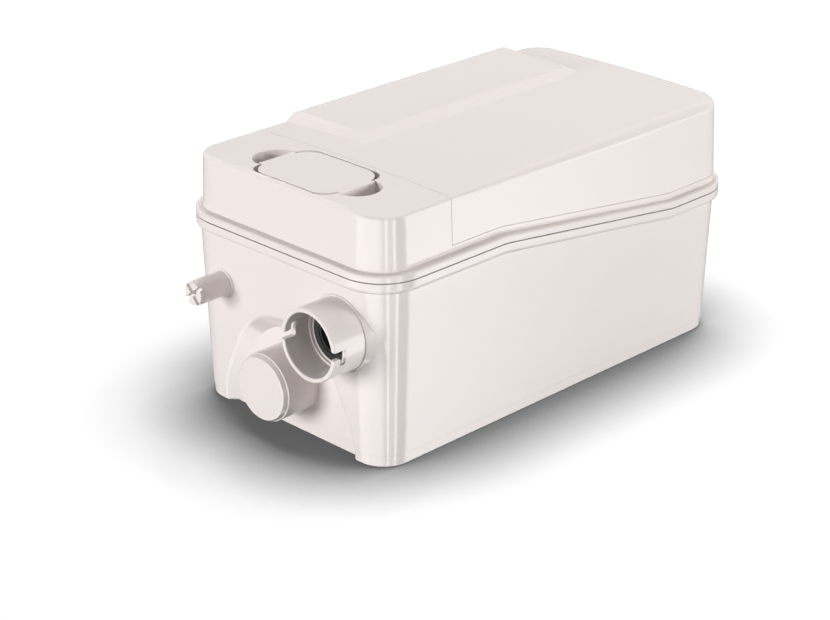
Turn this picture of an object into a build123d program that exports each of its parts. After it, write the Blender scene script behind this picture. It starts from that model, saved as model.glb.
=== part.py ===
from build123d import *
from math import atan2, cos, radians, sin, sqrt, tan
import os

# Compact wastewater lifting station. Millimetres, +Z up. The port end faces -X, the long side
# seen with it faces -Y, and the origin is on the floor at the middle of the tank's base.

# Joint between tank and lid: level at both ends, with a ramp between them
joint_front = 112.0
joint_rear = 92.5
ramp_start = -54.0
ramp_end = 90.0
ramp_rounding = 40.0
joint_gap = 0.7

# Rim flanges of tank and lid
rim_length = 300.0
rim_width = 166.0
rim_corner = 27.0
tank_flange = 6.7
lid_flange = 4.4
tank_flange_round = 2.6
lid_flange_round = 1.3

# Tank body
base_length = 285.0
base_width = 152.0
base_corner = 18.0
draft_angle = 2.2
tank_wall = 3.0
tank_floor = 3.0
step_height = 7.2
step_inset = 0.45
foot_chamfer = 1.0
gasket_inset = 2.4
gasket_width = 2.6
gasket_depth = 1.0
edge_round = 0.7
tank_boss_radius = 6.0

# Lid body above its flange
lid_length = 290.2
lid_width = 155.8
lid_corner = 19.5
lid_wall = 2.6
crown_height = 148.8
camber_radius = 1900.0
top_round_front = 1.8
top_round_rear = 6.0
top_round_full_x = 55.0
inner_round = 5.0
shut_line_x = 53.1 - lid_length / 2
shut_line_rise = 8.0
shut_gap = 0.2
bulkhead = 2.6
lip_height = 5.0
lip_wall = 1.6
lip_clearance = 0.25
deck_thickness = 3.0

# Raised field on the motor hood
plateau_rise = 3.4
plateau_top = crown_height + plateau_rise
plateau_front_x = shut_line_x + 28.0
plateau_rear_x = lid_length / 2 - 35.3
plateau_near_y = 20.0
plateau_front_corner = 10.5
plateau_rear_corner = 4.5
plateau_depth = 13.0
plateau_front_run = 20.5
plateau_rear_run = 20.0
plateau_near_run = 26.0
plateau_round = 1.2
plateau_far_round = 3.7

# Vent hatch and its well in the lid
hatch_x = 26.6 - lid_length / 2
hatch_length = 46.5
hatch_width = 62.0
hatch_corner = 9.0
finger_radius = 13.8
finger_offset = 32.0
cover_gap = 1.0
cover_corner = 12.0
cover_half_width = 33.0
cover_plate = 3.0
cover_skirt = 1.8
well_depth = 22.0
well_wall = 2.0
hatch_seal_height = 2.5
filter_clearance = 0.3
vent_slot_width = 2.4
vent_slot_count = 7
cover_edge = 0.5
filter_hole_pitch = 6.5
filter_hole_radius = 1.4
filter_hole_depth = 1.5

# Upper socket for the discharge pipe
port_wall_x = -base_length / 2
outlet_y = 29.2 - base_width / 2
outlet_z = 76.3
outlet_radius = 21.0
outlet_bore = 18.3
outlet_mouth_x = port_wall_x - 27.5
outlet_shoulder_x = outlet_mouth_x + 18.0
mouth_round = 1.1
collar_x = port_wall_x - 4.7
collar_radius = 21.7
collar_foot_radius = 24.6
collar_foot_x = port_wall_x + 3.5
ledge_width = 1.6
valve_screw_bite = 4.6
slot_width = 4.2
slot_depth = 8.5
slot_hook = 3.7
slot_hook_reach = 4.8
slot_round = 1.3
slot_lip_round = 1.0

# Non-return valve behind the socket
seal_radius = 16.0
seal_bore = 12.6
seal_length = 15.5
seal_rib = 1.2
seal_rib_count = 5
valve_pad_x = port_wall_x + 3.5
valve_flange_radius = 25.2
valve_flange_flat = 20.2
valve_flange_thick = 4.0
valve_chamber = 15.5
valve_chamber_length = 26.0
valve_wall = 3.0
valve_seat_lip = 1.2
flow_bore = 9.0
hose_tail_radius = 11.5
hose_tail_length = 17.5
flap_radius = 11.4
flap_thick = 2.0
flap_pin_rise = 12.2
flap_pin_radius = 1.0
flap_eye_radius = 2.1
flap_eye_length = 9.0
running_clearance = 0.05

# Lower closed inlet spigot and the arched recess round it
inlet_z = 32.5
inlet_radius = 20.0
inlet_wall = 2.7
inlet_shoulder_x = port_wall_x - 17.5
inlet_face_x = inlet_shoulder_x - 3.0
inlet_face_radius = 18.4
recess_back_x = port_wall_x + 5.0
recess_margin = 4.0
recess_half_width = base_width / 2 - base_corner - recess_margin
recess_height = 66.9
recess_arch_radius = 44.0
recess_side_slope = 0.5276
recess_side_round = 40.0
recess_bevel = 6.5
recess_bevel_run = 6.0
recess_mouth_run = 6.0
recess_round = 2.4
nose_step = 0.6

# Drain stub, its plug and its dip tube
stub_y = base_width / 2 - 26.5
stub_z = 76.1
stub_radius = 7.2
stub_bore = 5.0
stub_end_x = port_wall_x - 22.0
stub_pad_x = port_wall_x - 3.7
stub_pad_width = 1.4
plug_head = 3.5
plug_head_radius = stub_radius - 0.3
plug_shank = 8.5
plug_slot = 2.4
plug_slot_depth = 2.2
plug_hole_radius = 1.6
plug_slot_turn = 51.0
oring_section = 1.1
dip_tube_bore = 3.4
dip_tube_x = port_wall_x + 16.5
dip_tube_floor_gap = 5.0
dip_tube_bend = 12.0

# Motor well, motor and pump on one vertical axis
motor_x = 60.0
well_radius = 43.5
motor_well_wall = 3.0
well_floor_z = 40.0
well_floor = 4.0
can_radius = 42.5
can_wall = 2.5
can_top_z = 122.0
shield_plate = 6.0
ear_radius = 51.0
ear_size = 6.0
ear_thick = 3.0
ear_z = 107.0
motor_screw_bite = 12.0
well_boss_height = 22.0
volute_screw_bite = 14.0
stator_bore = 22.0
stator_height = 34.0
stator_middle_z = 89.0
stator_slots = 24
winding_height = 12.0
winding_section = 12.0
rotor_radius = 21.6
rotor_height = 38.0
shaft_radius = 5.0
rotor_bore = 6.5
shaft_top_radius = 4.0
bearing_clearance = 0.02
lower_bearing_radius = 15.0
lower_bearing_width = 9.0
upper_bearing_radius = 11.0
upper_bearing_width = 7.0
hub_wall = 4.0
shield_cap = 4.0
shield_ribs = 8
slot_opening = 2.6
seal_ring_radius = 11.0
seal_ring_height = 8.0
volute_bottom_z = 11.0
volute_wall = 2.5
volute_radius = 40.0
suction_eye = 13.0
volute_ear_radius = 47.5
volute_ear_size = 5.0
pump_outlet_x = -2.0
impeller_radius = 30.0
impeller_disc = 3.0
impeller_top_z = 32.0
impeller_height = 14.0
impeller_hub = 9.0
vane_sweep = 42.0
nut_height = 4.0
vane_count = 6
vane_thick = 2.2
strainer_radius = 24.0
strainer_wall = 2.2
strainer_slots = 12
strainer_floor_gap = 0.3

# Riser hose from pump to valve
hose_wall = 2.6
hose_bend = 40.0
hose_bend_low_x = -26.0
hose_bend_top_x = -62.0
clamp_wall = 1.1
clamp_width = 9.0
clamp_screw = 3.0

# Screws
lid_screw_radius = 1.95
lid_screw_head = 4.0
lid_screw_length = 18.0
lid_screw_margin = 10.0
lid_screw_y = min(base_width, lid_width) / 2 - lid_screw_margin
lid_screw_front_x = shut_line_x + 14.0
lid_screw_middle_x = 25.0
lid_screw_rear_x = lid_length / 2 - 17.1
lid_pad_radius = 6.5
lid_pad_rise = 5.4
lid_pad_drop = 2.0
tank_boss_height = 22.0
small_screw_radius = 1.45
small_screw_head = 2.8
head_height = 2.4
hole_clearance = 0.3
thread_clearance = 0.05
small_screw_bite = 6.0

# Hood pegs that stand in sockets on the deck
peg_front_x = 0.0
peg_rear_x = lid_length / 2 - 33.1
peg_y = lid_width / 2 - 11.9
peg_radius = 4.0
peg_tip_radius = 2.5
peg_socket_radius = 5.0
peg_tip_length = 6.0
peg_seat_z = 116.0

# Level sensing
bell_x = shut_line_x + 22.0
bell_y = lid_screw_y - 22.0
bell_radius = 13.0
bell_wall = 2.0
bell_mouth_z = 14.0
bell_thread_radius = 4.0
nipple_radius = 2.6
nipple_bore = 1.5
nipple_height = 12.0
bell_nut_radius = 7.5
bell_nut_height = 4.0
sensor_hose_wall = 1.3
sensor_hose_top_z = 137.0
sensor_hose_bend = 7.0

# Control electronics on the deck
board_x = shut_line_x + 38.0
board_y = -20.0
board_length = 66.0
board_width = 70.0
board_thick = 1.6
board_z = 119.0
board_screw_inset = 4.0
standoff_radius = 3.6
sensor_x = board_x - 14.0
sensor_y = 4.0
sensor_size = 16.0
sensor_height = 7.0
relay_x = board_x - 12.0
relay_y = -40.0
relay_length = 24.0
relay_width = 16.0
relay_height = 15.0
transformer_x = board_x - 10.0
transformer_y = -16.0
transformer_length = 20.0
transformer_width = 22.0
transformer_height = 17.0
terminal_x = board_x + 24.0
terminal_y = -20.0
terminal_length = 12.0
terminal_width = 48.0
terminal_height = 11.0
terminal_ways = 6
capacitor_x = -46.0
capacitor_y = 46.0
capacitor_z = 128.0
capacitor_radius = 12.0
capacitor_length = 54.0
clip_wall = 1.2
clip_width = 6.0
clip_inset = 12.0
clip_opening = 100.0
clip_foot_width = 10.0
lead_radius = 2.2
lead_bend = 6.0
motor_lead_x = 30.0
motor_lead_y = 0.0
capacitor_lead_y = 12.0
lead_height = 139.0

# Cable entry in the rear of the lid
entry_y = 0.0
entry_width = 28.0
entry_rise = 29.0
entry_bore = 3.6
grommet_radius = 9.0
grommet_flange = 1.6
grommet_neck = 7.5
entry_corner = 6.0
entry_thick = 3.2
entry_margin = 2.5

# Reach past the part for cutting tools
reach = 260.0
ceiling = crown_height + 41.2

lean = tan(radians(draft_angle))
ramp_slope = (joint_rear - joint_front) / (ramp_end - ramp_start)
half_gap = joint_gap / 2
tank_form = (base_length, base_width, base_corner, 0.0, lean)
lid_form = (lid_length, lid_width, lid_corner, joint_front + lid_flange, -lean)
rim_form = (rim_length, rim_width, rim_corner, 0.0, 0.0)


def joint_z(x):
    """Height of the joint between tank and lid at x."""
    if x < ramp_start:
        return joint_front
    if x > ramp_end:
        return joint_rear
    return joint_front + ramp_slope * (x - ramp_start)


def outline(form, z, inset=0.0):
    """Rounded rectangle of a drafted form at height z."""
    length, width, corner, z_ref, slope = form
    grow = slope * (z - z_ref) - inset
    return Pos(0, 0, z) * RectangleRounded(length + 2 * grow, width + 2 * grow, corner + grow)


def block(form, z_low, z_high, inset=0.0):
    """Drafted block between two heights."""
    return loft([outline(form, z_low, inset), outline(form, z_high, inset)], ruled=True)


def joint_line(rise):
    """The joint's side view, raised by a height, with rounded kinks."""
    points = [
        (-reach, joint_front + rise),
        (ramp_start, joint_front + rise),
        (ramp_end, joint_rear + rise),
        (reach, joint_rear + rise),
    ]
    return FilletPolyline(*points, radius=ramp_rounding)


def above_joint(rise):
    """Everything higher than the joint by a height."""
    edge = joint_line(rise)
    first = (reach, joint_rear + rise)
    last = (-reach, joint_front + rise)
    face = Plane.XZ * make_face(edge + Polyline(first, (reach, ceiling), (-reach, ceiling), last))
    return extrude(face, amount=reach, both=True)


def band(low, high):
    """Layer between two heights over the joint."""
    return above_joint(low) - above_joint(high)


def beyond_x(x):
    """Half space on the +X side of x."""
    return Pos(x + reach, 0, 0) * Box(2 * reach, 2 * reach, 2 * reach)


def rod_x(radius, x_low, x_high, y, z):
    """Round bar along X."""
    return Pos((x_low + x_high) / 2, y, z) * Rot(0, 90, 0) * Cylinder(radius, x_high - x_low)


def rod_z(radius, x, y, z_low, z_high):
    """Round bar along Z."""
    return Pos(x, y, (z_low + z_high) / 2) * Cylinder(radius, z_high - z_low)


def box_between(low, high):
    """Box from its lowest to its highest corner."""
    size = [high[i] - low[i] for i in range(3)]
    centre = [(high[i] + low[i]) / 2 for i in range(3)]
    return Pos(*centre) * Box(*size)


def ring_z(outer, inner, x, y, z_low, z_high):
    """Ring round a vertical axis."""
    return rod_z(outer, x, y, z_low, z_high) - rod_z(inner, x, y, z_low, z_high)


def tube(path, radius, bore=0.0):
    """Tube or round wire swept along a path."""
    section = (path ^ 0) * Circle(radius)
    if bore > 0:
        section = (path ^ 0) * (Circle(radius) - Circle(bore))
    return sweep(section, path=path)


def under_camber(drop):
    """Everything under the cambered top, lowered by a drop."""
    radius = camber_radius - drop
    return Pos(0, 0, crown_height - camber_radius) * Rot(0, 90, 0) * Cylinder(radius, 2 * reach)


def camber_z(y, drop=0.0):
    """Height of the cambered top at y."""
    radius = camber_radius - drop
    return crown_height - camber_radius + sqrt(radius ** 2 - y ** 2)


def domed_block(inset, rounding):
    """Lid body set in by a wall, with its top edge rounded."""
    raw = block(lid_form, joint_rear - tank_flange, plateau_top + lid_wall, inset) & under_camber(inset)
    top = raw.faces().sort_by(Axis.Z)[-1]
    return fillet(top.edges(), rounding)


def cross_section(solid, x):
    """Face where a plane across X cuts a solid."""
    plane = Plane((x, 0, 0), x_dir=(0, 1, 0), z_dir=(1, 0, 0))
    return (solid & (plane * Rectangle(2 * reach, 2 * reach))).faces()[0]


def lid_exterior():
    """Whole outside of lid and hood, with a top rounding that widens towards the rear."""
    narrow = domed_block(0.0, top_round_front)
    wide = domed_block(0.0, top_round_rear)
    front_face = cross_section(narrow, shut_line_x)
    rear_face = cross_section(wide, top_round_full_x)
    middle = loft([front_face, rear_face], ruled=True)
    return narrow - beyond_x(shut_line_x), middle, wide & beyond_x(top_round_full_x)


def lid_screw_places():
    """X and Y of the screws that hold lid to tank."""
    rows = (lid_screw_front_x, lid_screw_middle_x, lid_screw_rear_x)
    return [(x, side * lid_screw_y) for x in rows for side in (-1, 1)]


def around(radius, count, start):
    """Places on a circle round the motor axis."""
    step = 360 / count
    turns = [radians(start + step * i) for i in range(count)]
    return [(motor_x + radius * cos(t), radius * sin(t)) for t in turns]


def arch_face(x, offset):
    """Arched outline of the recess in the port end, grown by an offset."""
    half = recess_half_width + offset
    radius = recess_arch_radius + offset
    bend = recess_side_round + offset
    turn = atan2(recess_side_slope, 1.0)
    centre_z = recess_height - recess_arch_radius
    touch_y = radius * cos(turn)
    touch_z = centre_z + radius * sin(turn)
    kink_z = touch_z - (half - touch_y) / recess_side_slope
    run = bend * tan(turn / 2)
    low = -2 * tank_floor
    lower = (half, kink_z - run)
    upper = (half - run * sin(turn), kink_z + run * cos(turn))
    edges = ThreePointArc((-touch_y, touch_z), (0, centre_z + radius), (touch_y, touch_z))
    for side in (-1, 1):
        edges += Line((side * half, low), (side * half, lower[1]))
        edges += TangentArc((side * half, lower[1]), (side * upper[0], upper[1]), tangent=(0, 1))
        edges += Line((side * upper[0], upper[1]), (side * touch_y, touch_z))
    edges += Line((-half, low), (half, low))
    plane = Plane((x, 0, 0), x_dir=(0, 1, 0), z_dir=(1, 0, 0))
    return plane * make_face(edges)


def recess(grow):
    """Solid that fills the arched recess, grown by a wall."""
    outer_run = recess_bevel_run + recess_mouth_run
    outer = recess_bevel * recess_mouth_run / recess_bevel_run
    back = arch_face(recess_back_x + grow, grow - recess_bevel)
    mouth = arch_face(recess_back_x + grow - outer_run, grow + outer)
    return loft([mouth.faces()[0], back.faces()[0]], ruled=True)


def on_end_wall(edge, inset):
    """True for an edge of the recess that lies on the port end's outer wall."""
    spot = edge.center()
    wall_x = -(base_length / 2 + lean * spot.Z - inset)
    return abs(spot.X - wall_x) < recess_round / 3 and abs(spot.Y) < recess_half_width + 0.75 * recess_margin


def recessed_block(z_low, z_high, inset):
    """Tank body with the recess cut in and its rim softened."""
    body = block(tank_form, z_low, z_high, inset) - recess(inset)
    rim = [e for e in body.edges() if on_end_wall(e, inset) and z_low < e.center().Z < z_high - 1]
    body = fillet(rim, recess_round)
    return body


def rim_edges(solid, rise):
    """Outer edges of a rim flange at a height over the joint."""
    found = []
    for edge in solid.edges():
        spot = edge.center()
        across = abs((edge @ 1 - edge @ 0).Y) > rim_width / 2 and abs(spot.X) < rim_length / 2 - 1
        if abs(spot.Z - joint_z(spot.X) - rise) < 0.6 and not across:
            found.append(edge)
    return found


def rim_plate(low, high):
    """Flange slab that follows the joint."""
    return block(rim_form, joint_rear - 2 * tank_flange, joint_front + 3 * lid_flange) & band(low, high)


def gasket_ring(low, high, slack):
    """Ring along the joint for the gasket or its groove."""
    outer = block(rim_form, joint_rear - 20, joint_front + 20, gasket_inset - slack)
    inner = block(rim_form, joint_rear - 20, joint_front + 20, gasket_inset + gasket_width + slack)
    return (outer - inner) & band(low, high)


def make_rim_gasket():
    """Soft ring between the two flanges."""
    return gasket_ring(-half_gap - gasket_depth, half_gap, 0.0)


def outlet_rod(radius, x_low, x_high):
    """Round bar on the outlet's axis."""
    return rod_x(radius, x_low, x_high, outlet_y, outlet_z)


def bayonet_slots():
    """Two opposite slots in the socket's mouth, each with a hook, all corners rounded."""
    end = slot_depth
    leg = slot_depth - slot_hook
    half = slot_width / 2
    hook_end = half + slot_hook_reach
    lip = 3 * slot_width
    points = [(-end, -lip), (0, -lip), (0, -half), (end, -half)]
    points += [(end, hook_end), (leg, hook_end), (leg, half), (0, half), (0, lip), (-end, lip)]
    plan = make_face(Polyline(*points, close=True))
    lips = [v for v in plan.vertices() if abs(v.X) < 0.01 and abs(v.Y) < lip - 1]
    plan = fillet(lips, slot_lip_round)
    plan = fillet([v for v in plan.vertices() if v.X > leg - 0.01], slot_round)
    slots = Part()
    for turn in (0, 180):
        face = Plane((outlet_mouth_x, 0, 0), x_dir=(1, 0, 0), z_dir=(0, -1, 0)) * plan
        cutter = extrude(face, amount=-2 * outlet_radius)
        slots += Pos(0, outlet_y, outlet_z) * Rot(turn, 0, 0) * cutter
    return slots


def valve_screw_places():
    """Y and Z of the screws in the valve's flange."""
    radius = valve_chamber + valve_wall + small_screw_head + 0.2
    turns = [radians(a) for a in (0, 120, 240)]
    return [(outlet_y + radius * cos(t), outlet_z + radius * sin(t)) for t in turns]


def make_tank():
    """Collecting tank with its ports, rim and screw bosses, moulded in one."""
    base_high = joint_front + lid_flange
    upper = recessed_block(0, base_high, 0.0) - box_between((-reach, -reach, -1), (reach, reach, step_height))
    base = recessed_block(0, step_height, step_inset)
    foot = base.edges().group_by(Axis.Z)[0].filter_by(lambda e: e.center().X > recess_back_x + 2)
    base = chamfer(foot, foot_chamfer)
    flange = rim_plate(-tank_flange, -half_gap)
    flange = fillet(rim_edges(flange, -tank_flange), tank_flange_round)
    body = base + upper + flange
    body -= above_joint(-half_gap)
    cavity = block(tank_form, tank_floor, base_high, tank_wall) - recess(tank_wall)
    body -= cavity
    body -= gasket_ring(-half_gap - gasket_depth, half_gap + 1, 0.0)

    wall_x = -(base_length / 2 + lean * outlet_z)
    socket = outlet_rod(outlet_radius, outlet_mouth_x, wall_x + 2)
    socket -= outlet_rod(outlet_bore, outlet_mouth_x - 1, outlet_shoulder_x)
    mouth = socket.edges().group_by(Axis.X)[0]
    socket = fillet(mouth, mouth_round)
    length = collar_foot_x - collar_x
    collar = Rot(0, -90, 0) * Cone(collar_foot_radius, collar_radius, length)
    collar = Pos((collar_foot_x + collar_x) / 2, outlet_y, outlet_z) * collar
    outer_skin = collar - cavity
    pad = outlet_rod(valve_flange_radius, wall_x, valve_pad_x)
    pad &= block(tank_form, tank_floor, base_high, tank_wall / 2)
    body += outer_skin + pad
    body -= outlet_rod(outlet_bore, outlet_mouth_x - 1, outlet_shoulder_x)
    body += socket
    middle = (outlet_bore + seal_radius) / 2
    body -= outlet_rod(middle, outlet_shoulder_x - 1, outlet_shoulder_x + ledge_width)
    body -= outlet_rod(seal_radius + thread_clearance, outlet_shoulder_x - 1, valve_pad_x + 1)
    body -= bayonet_slots()
    pilot = small_screw_radius + thread_clearance
    for y, z in valve_screw_places():
        body -= rod_x(pilot, valve_pad_x - valve_screw_bite, valve_pad_x + 1, y, z)

    spigot = rod_x(inlet_radius, inlet_shoulder_x, recess_back_x + 1, 0, inlet_z)
    nose_length = inlet_shoulder_x - inlet_face_x
    nose = Rot(0, -90, 0) * Cone(inlet_radius - nose_step, inlet_face_radius, nose_length)
    nose = Pos((inlet_shoulder_x + inlet_face_x) / 2, 0, inlet_z) * nose
    nose = fillet(nose.edges().group_by(Axis.X)[0], edge_round)
    spigot = fillet(spigot.edges().group_by(Axis.X)[0], edge_round)
    hollow_end = recess_back_x + 2 * tank_wall
    hollow = rod_x(inlet_radius - inlet_wall, inlet_face_x + inlet_wall, hollow_end, 0, inlet_z)
    body = body + spigot + nose - hollow

    stub_wall_x = -(base_length / 2 + lean * stub_z)
    stub = rod_x(stub_radius, stub_end_x, stub_wall_x + 1, stub_y, stub_z)
    stub += rod_x(stub_radius + tank_wall / 2, stub_wall_x, valve_pad_x, stub_y, stub_z)
    stub += rod_x(stub_radius + stub_pad_width, stub_pad_x, stub_wall_x + 1, stub_y, stub_z)
    body = body + stub - rod_x(stub_bore, stub_end_x - 1, valve_pad_x + 1, stub_y, stub_z)

    for x, y in lid_screw_places():
        top = joint_z(x) - lid_pad_drop
        boss = rod_z(tank_boss_radius, x, y, top - tank_boss_height, top)
        side = 1 if y > 0 else -1
        edge_y = side * (base_width / 2 - tank_wall / 2 + lean * (top - tank_boss_height))
        low_y, high_y = sorted((y, edge_y))
        web = tank_boss_radius / 2
        boss += box_between((x - web, low_y, top - tank_boss_height), (x + web, high_y, top))
        depth = lid_screw_length - lid_pad_rise - lid_pad_drop + 1
        boss -= rod_z(lid_screw_radius + thread_clearance, x, y, top - depth, top + 1)
        body += boss
    return body


def inside(inset):
    """Space inside the lid's walls, set in by a wall."""
    return domed_block(inset, inner_round)


def hatch_outline(grow):
    """Hatch opening: a rounded rectangle with a round finger recess at each end."""
    plate = RectangleRounded(hatch_length + 2 * grow, hatch_width + 2 * grow, hatch_corner + grow)
    for side in (-1, 1):
        plate += Pos(0, side * finger_offset) * Circle(finger_radius + grow)
    return plate


def cover_outline(shrink):
    """Outline of the hatch cover, which leaves the finger recesses open."""
    inset = cover_gap + shrink
    plate = RectangleRounded(hatch_length - 2 * inset, hatch_width - 2 * inset, cover_corner - shrink)
    for side in (-1, 1):
        plate += Pos(0, side * finger_offset) * Circle(finger_radius - inset)
    return plate & Rectangle(2 * hatch_length, 2 * (cover_half_width - shrink))


def upright(sketch, x, y, z_low, z_high):
    """Prism of a plan outline between two heights."""
    return Pos(x, y, z_low) * extrude(sketch, amount=z_high - z_low)


def entry_panel(grow):
    """Prism along X of the lid's raised panel round the cable entry."""
    width = entry_width + 2 * grow
    low = joint_rear + half_gap
    height = entry_rise - half_gap + grow
    face = RectangleRounded(width, 2 * height, entry_corner + grow)
    plane = Plane((lid_length / 2 - lid_corner, entry_y, low), x_dir=(0, 1, 0), z_dir=(1, 0, 0))
    return extrude(plane * face, amount=2 * lid_corner)


def make_lid():
    """Fixed lid: flange, deck with the motor well, front shell, and the lip that the hood goes over."""
    front, middle, rear = lid_exterior()
    back_body = middle + rear
    lip_inset = lid_wall + lip_clearance
    deep_inset = lip_inset + lip_wall
    deck_rise = half_gap + deck_thickness
    wet_end = shut_line_x - bulkhead

    body = fillet(rim_edges(rim_plate(half_gap, lid_flange), lid_flange), lid_flange_round)
    hollow = inside(lid_wall)
    body -= hollow - beyond_x(wet_end)
    body -= (inside(deep_inset) & beyond_x(shut_line_x)) & above_joint(deck_rise)
    body += (front & above_joint(half_gap)) - (hollow - beyond_x(wet_end))
    low_band = back_body & band(lid_flange / 2, shut_line_rise)
    body += low_band - (inside(deep_inset) & beyond_x(shut_line_x))
    lip = (inside(lip_inset) - inside(deep_inset)) & beyond_x(shut_line_x) & above_joint(deck_rise / 2)
    lip -= above_joint(shut_line_rise + lip_height) & beyond_x(shut_line_x + lip_height)
    body += lip
    panel = (rear & entry_panel(0.0)) - inside(deep_inset)
    panel &= above_joint(lid_flange / 2)
    body += panel

    floor_z = crown_height - well_depth
    well = upright(hatch_outline(well_wall), hatch_x, 0, floor_z - well_wall, ceiling) & front
    body += well
    body -= upright(hatch_outline(0.0), hatch_x, 0, floor_z, ceiling)
    pitch = filter_width() / (vent_slot_count + 1)
    slot = SlotOverall(cover_half_width, vent_slot_width, rotation=90)
    for i in range(vent_slot_count):
        x = hatch_x + (i - (vent_slot_count - 1) / 2) * pitch
        body -= upright(slot, x, 0, floor_z - 5, floor_z + 1)

    well_outer = rod_z(well_radius + motor_well_wall, motor_x, 0, well_floor_z, crown_height)
    body += well_outer - above_joint(deck_rise)
    for x, y in around(volute_ear_radius, 4, 0):
        body += rod_z(volute_ear_size, x, y, well_floor_z, well_floor_z + well_boss_height)
    for x, y in around(ear_radius, 4, 45):
        body += rod_z(ear_size, x, y, joint_z(x) - lid_flange, ear_z)
    body -= rod_z(well_radius, motor_x, 0, well_floor_z + well_floor, ceiling)
    hub = seal_ring_radius + motor_well_wall
    hub_top = well_floor_z + well_floor + motor_well_wall
    body += rod_z(hub, motor_x, 0, well_floor_z - motor_well_wall, hub_top)
    body -= rod_z(seal_ring_radius, motor_x, 0, well_floor_z - 10, well_floor_z + 20)
    pilot = lid_screw_radius + thread_clearance
    for x, y in around(volute_ear_radius, 4, 0):
        body -= rod_z(pilot, x, y, well_floor_z - 1, well_floor_z + volute_screw_bite)
    for x, y in around(ear_radius, 4, 45):
        body -= rod_z(pilot, x, y, ear_z - motor_screw_bite, ear_z + 1)

    for x, y in lid_screw_places():
        body += rod_z(lid_pad_radius, x, y, joint_z(x) - lid_pad_drop, joint_z(x) + lid_pad_rise)
        body -= rod_z(lid_screw_radius + hole_clearance, x, y, joint_z(x) - 10, joint_z(x) + 10)
    for x, y in peg_places():
        body += rod_z(peg_socket_radius, x, y, joint_z(x) + deck_rise / 2, peg_seat_z)
        body -= rod_z(peg_tip_radius + lip_clearance, x, y, peg_seat_z - peg_tip_length - 1, peg_seat_z + 1)
    for x, y in board_corners():
        body += rod_z(standoff_radius, x, y, joint_z(x) + deck_rise / 2, board_z)
        body -= rod_z(small_screw_radius + thread_clearance, x, y, board_z - small_screw_bite, board_z + 1)
    for x in clip_places():
        pad = (clip_width + 2, clip_foot_width + 2)
        body += box_between(
            (x - pad[0] / 2, capacitor_y - pad[1] / 2, joint_z(x) + deck_rise / 2),
            (x + pad[0] / 2, capacitor_y + pad[1] / 2, clip_foot_z()),
        )
    body -= rod_z(bell_thread_radius + lip_clearance, bell_x, bell_y, joint_rear, joint_front + 10)

    face_x = entry_face_x()
    z = entry_z()
    body -= rod_x(grommet_neck, face_x - 20, face_x + 10, entry_y, z)
    body -= rod_x(grommet_radius + lip_clearance, face_x, face_x + 10, entry_y, z)
    body -= rod_x(grommet_radius + lip_clearance, face_x - 12, face_x - entry_thick, entry_y, z)
    return body


def entry_face_x():
    """X of the flat that the grommet's flange lies on."""
    return lid_length / 2 - lip_clearance


def entry_z():
    """Height of the cable entry's axis."""
    return joint_rear + entry_rise - grommet_radius - entry_margin


def filter_width():
    """Width of the filter cartridge along X."""
    return hatch_length - 2 * (cover_gap + cover_skirt + filter_clearance)


def peg_places():
    """X and Y of the hood's pegs."""
    return [(x, side * peg_y) for x in (peg_front_x, peg_rear_x) for side in (-1, 1)]


def peg_root_z(x, y):
    """Height within the hood's top plate where a peg ends."""
    over_field = plateau_front_x < x < plateau_rear_x and y > plateau_near_y
    return plateau_top - lid_wall / 2 if over_field else camber_z(y, lid_wall / 2)


def board_corners():
    """X and Y of the circuit board's screws."""
    run_x = board_length / 2 - board_screw_inset
    run_y = board_width / 2 - board_screw_inset
    return [(board_x + i * run_x, board_y + j * run_y) for i in (-1, 1) for j in (-1, 1)]


def clip_places():
    """X of the two capacitor clips."""
    return (capacitor_x + clip_inset, capacitor_x + capacitor_length - clip_inset)


def clip_foot_z():
    """Height of the pads under the capacitor clips."""
    return capacitor_z - capacitor_radius - 2 * clip_wall


def plateau_outline(share):
    """Outline of the raised field, grown by a share of its bevels' runs."""
    x_low = plateau_front_x - share * plateau_front_run
    x_high = plateau_rear_x + share * plateau_rear_run
    y_low = plateau_near_y - share * plateau_near_run
    y_high = lid_width
    corners = [(x_low, y_low), (x_high, y_low), (x_high, y_high), (x_low, y_high)]
    plan = make_face(Polyline(*corners, close=True))
    front = plan.vertices().sort_by_distance((x_low, y_low, 0))[0]
    plan = fillet(front, plateau_front_corner * (1 + share / 2))
    rear = plan.vertices().sort_by_distance((x_high, y_low, 0))[0]
    return fillet(rear, plateau_rear_corner * (1 + share / 2))


def plateau_block():
    """Raised field with bevelled sides, flush with the far wall."""
    low_z = plateau_top - plateau_depth
    faces = [Pos(0, 0, low_z) * plateau_outline(1.0), Pos(0, 0, plateau_top) * plateau_outline(0.0)]
    body = loft(faces, ruled=True) & block(lid_form, low_z, plateau_top)
    far = body.edges().group_by(Axis.Z)[-1].sort_by(Axis.Y)[-1]
    body = fillet(far, plateau_far_round)
    limit = far.center().Y - plateau_far_round - 1
    rim = body.edges().group_by(Axis.Z)[-1].filter_by(lambda e: e.center().Y < limit)
    return fillet(rim, plateau_round)


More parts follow.
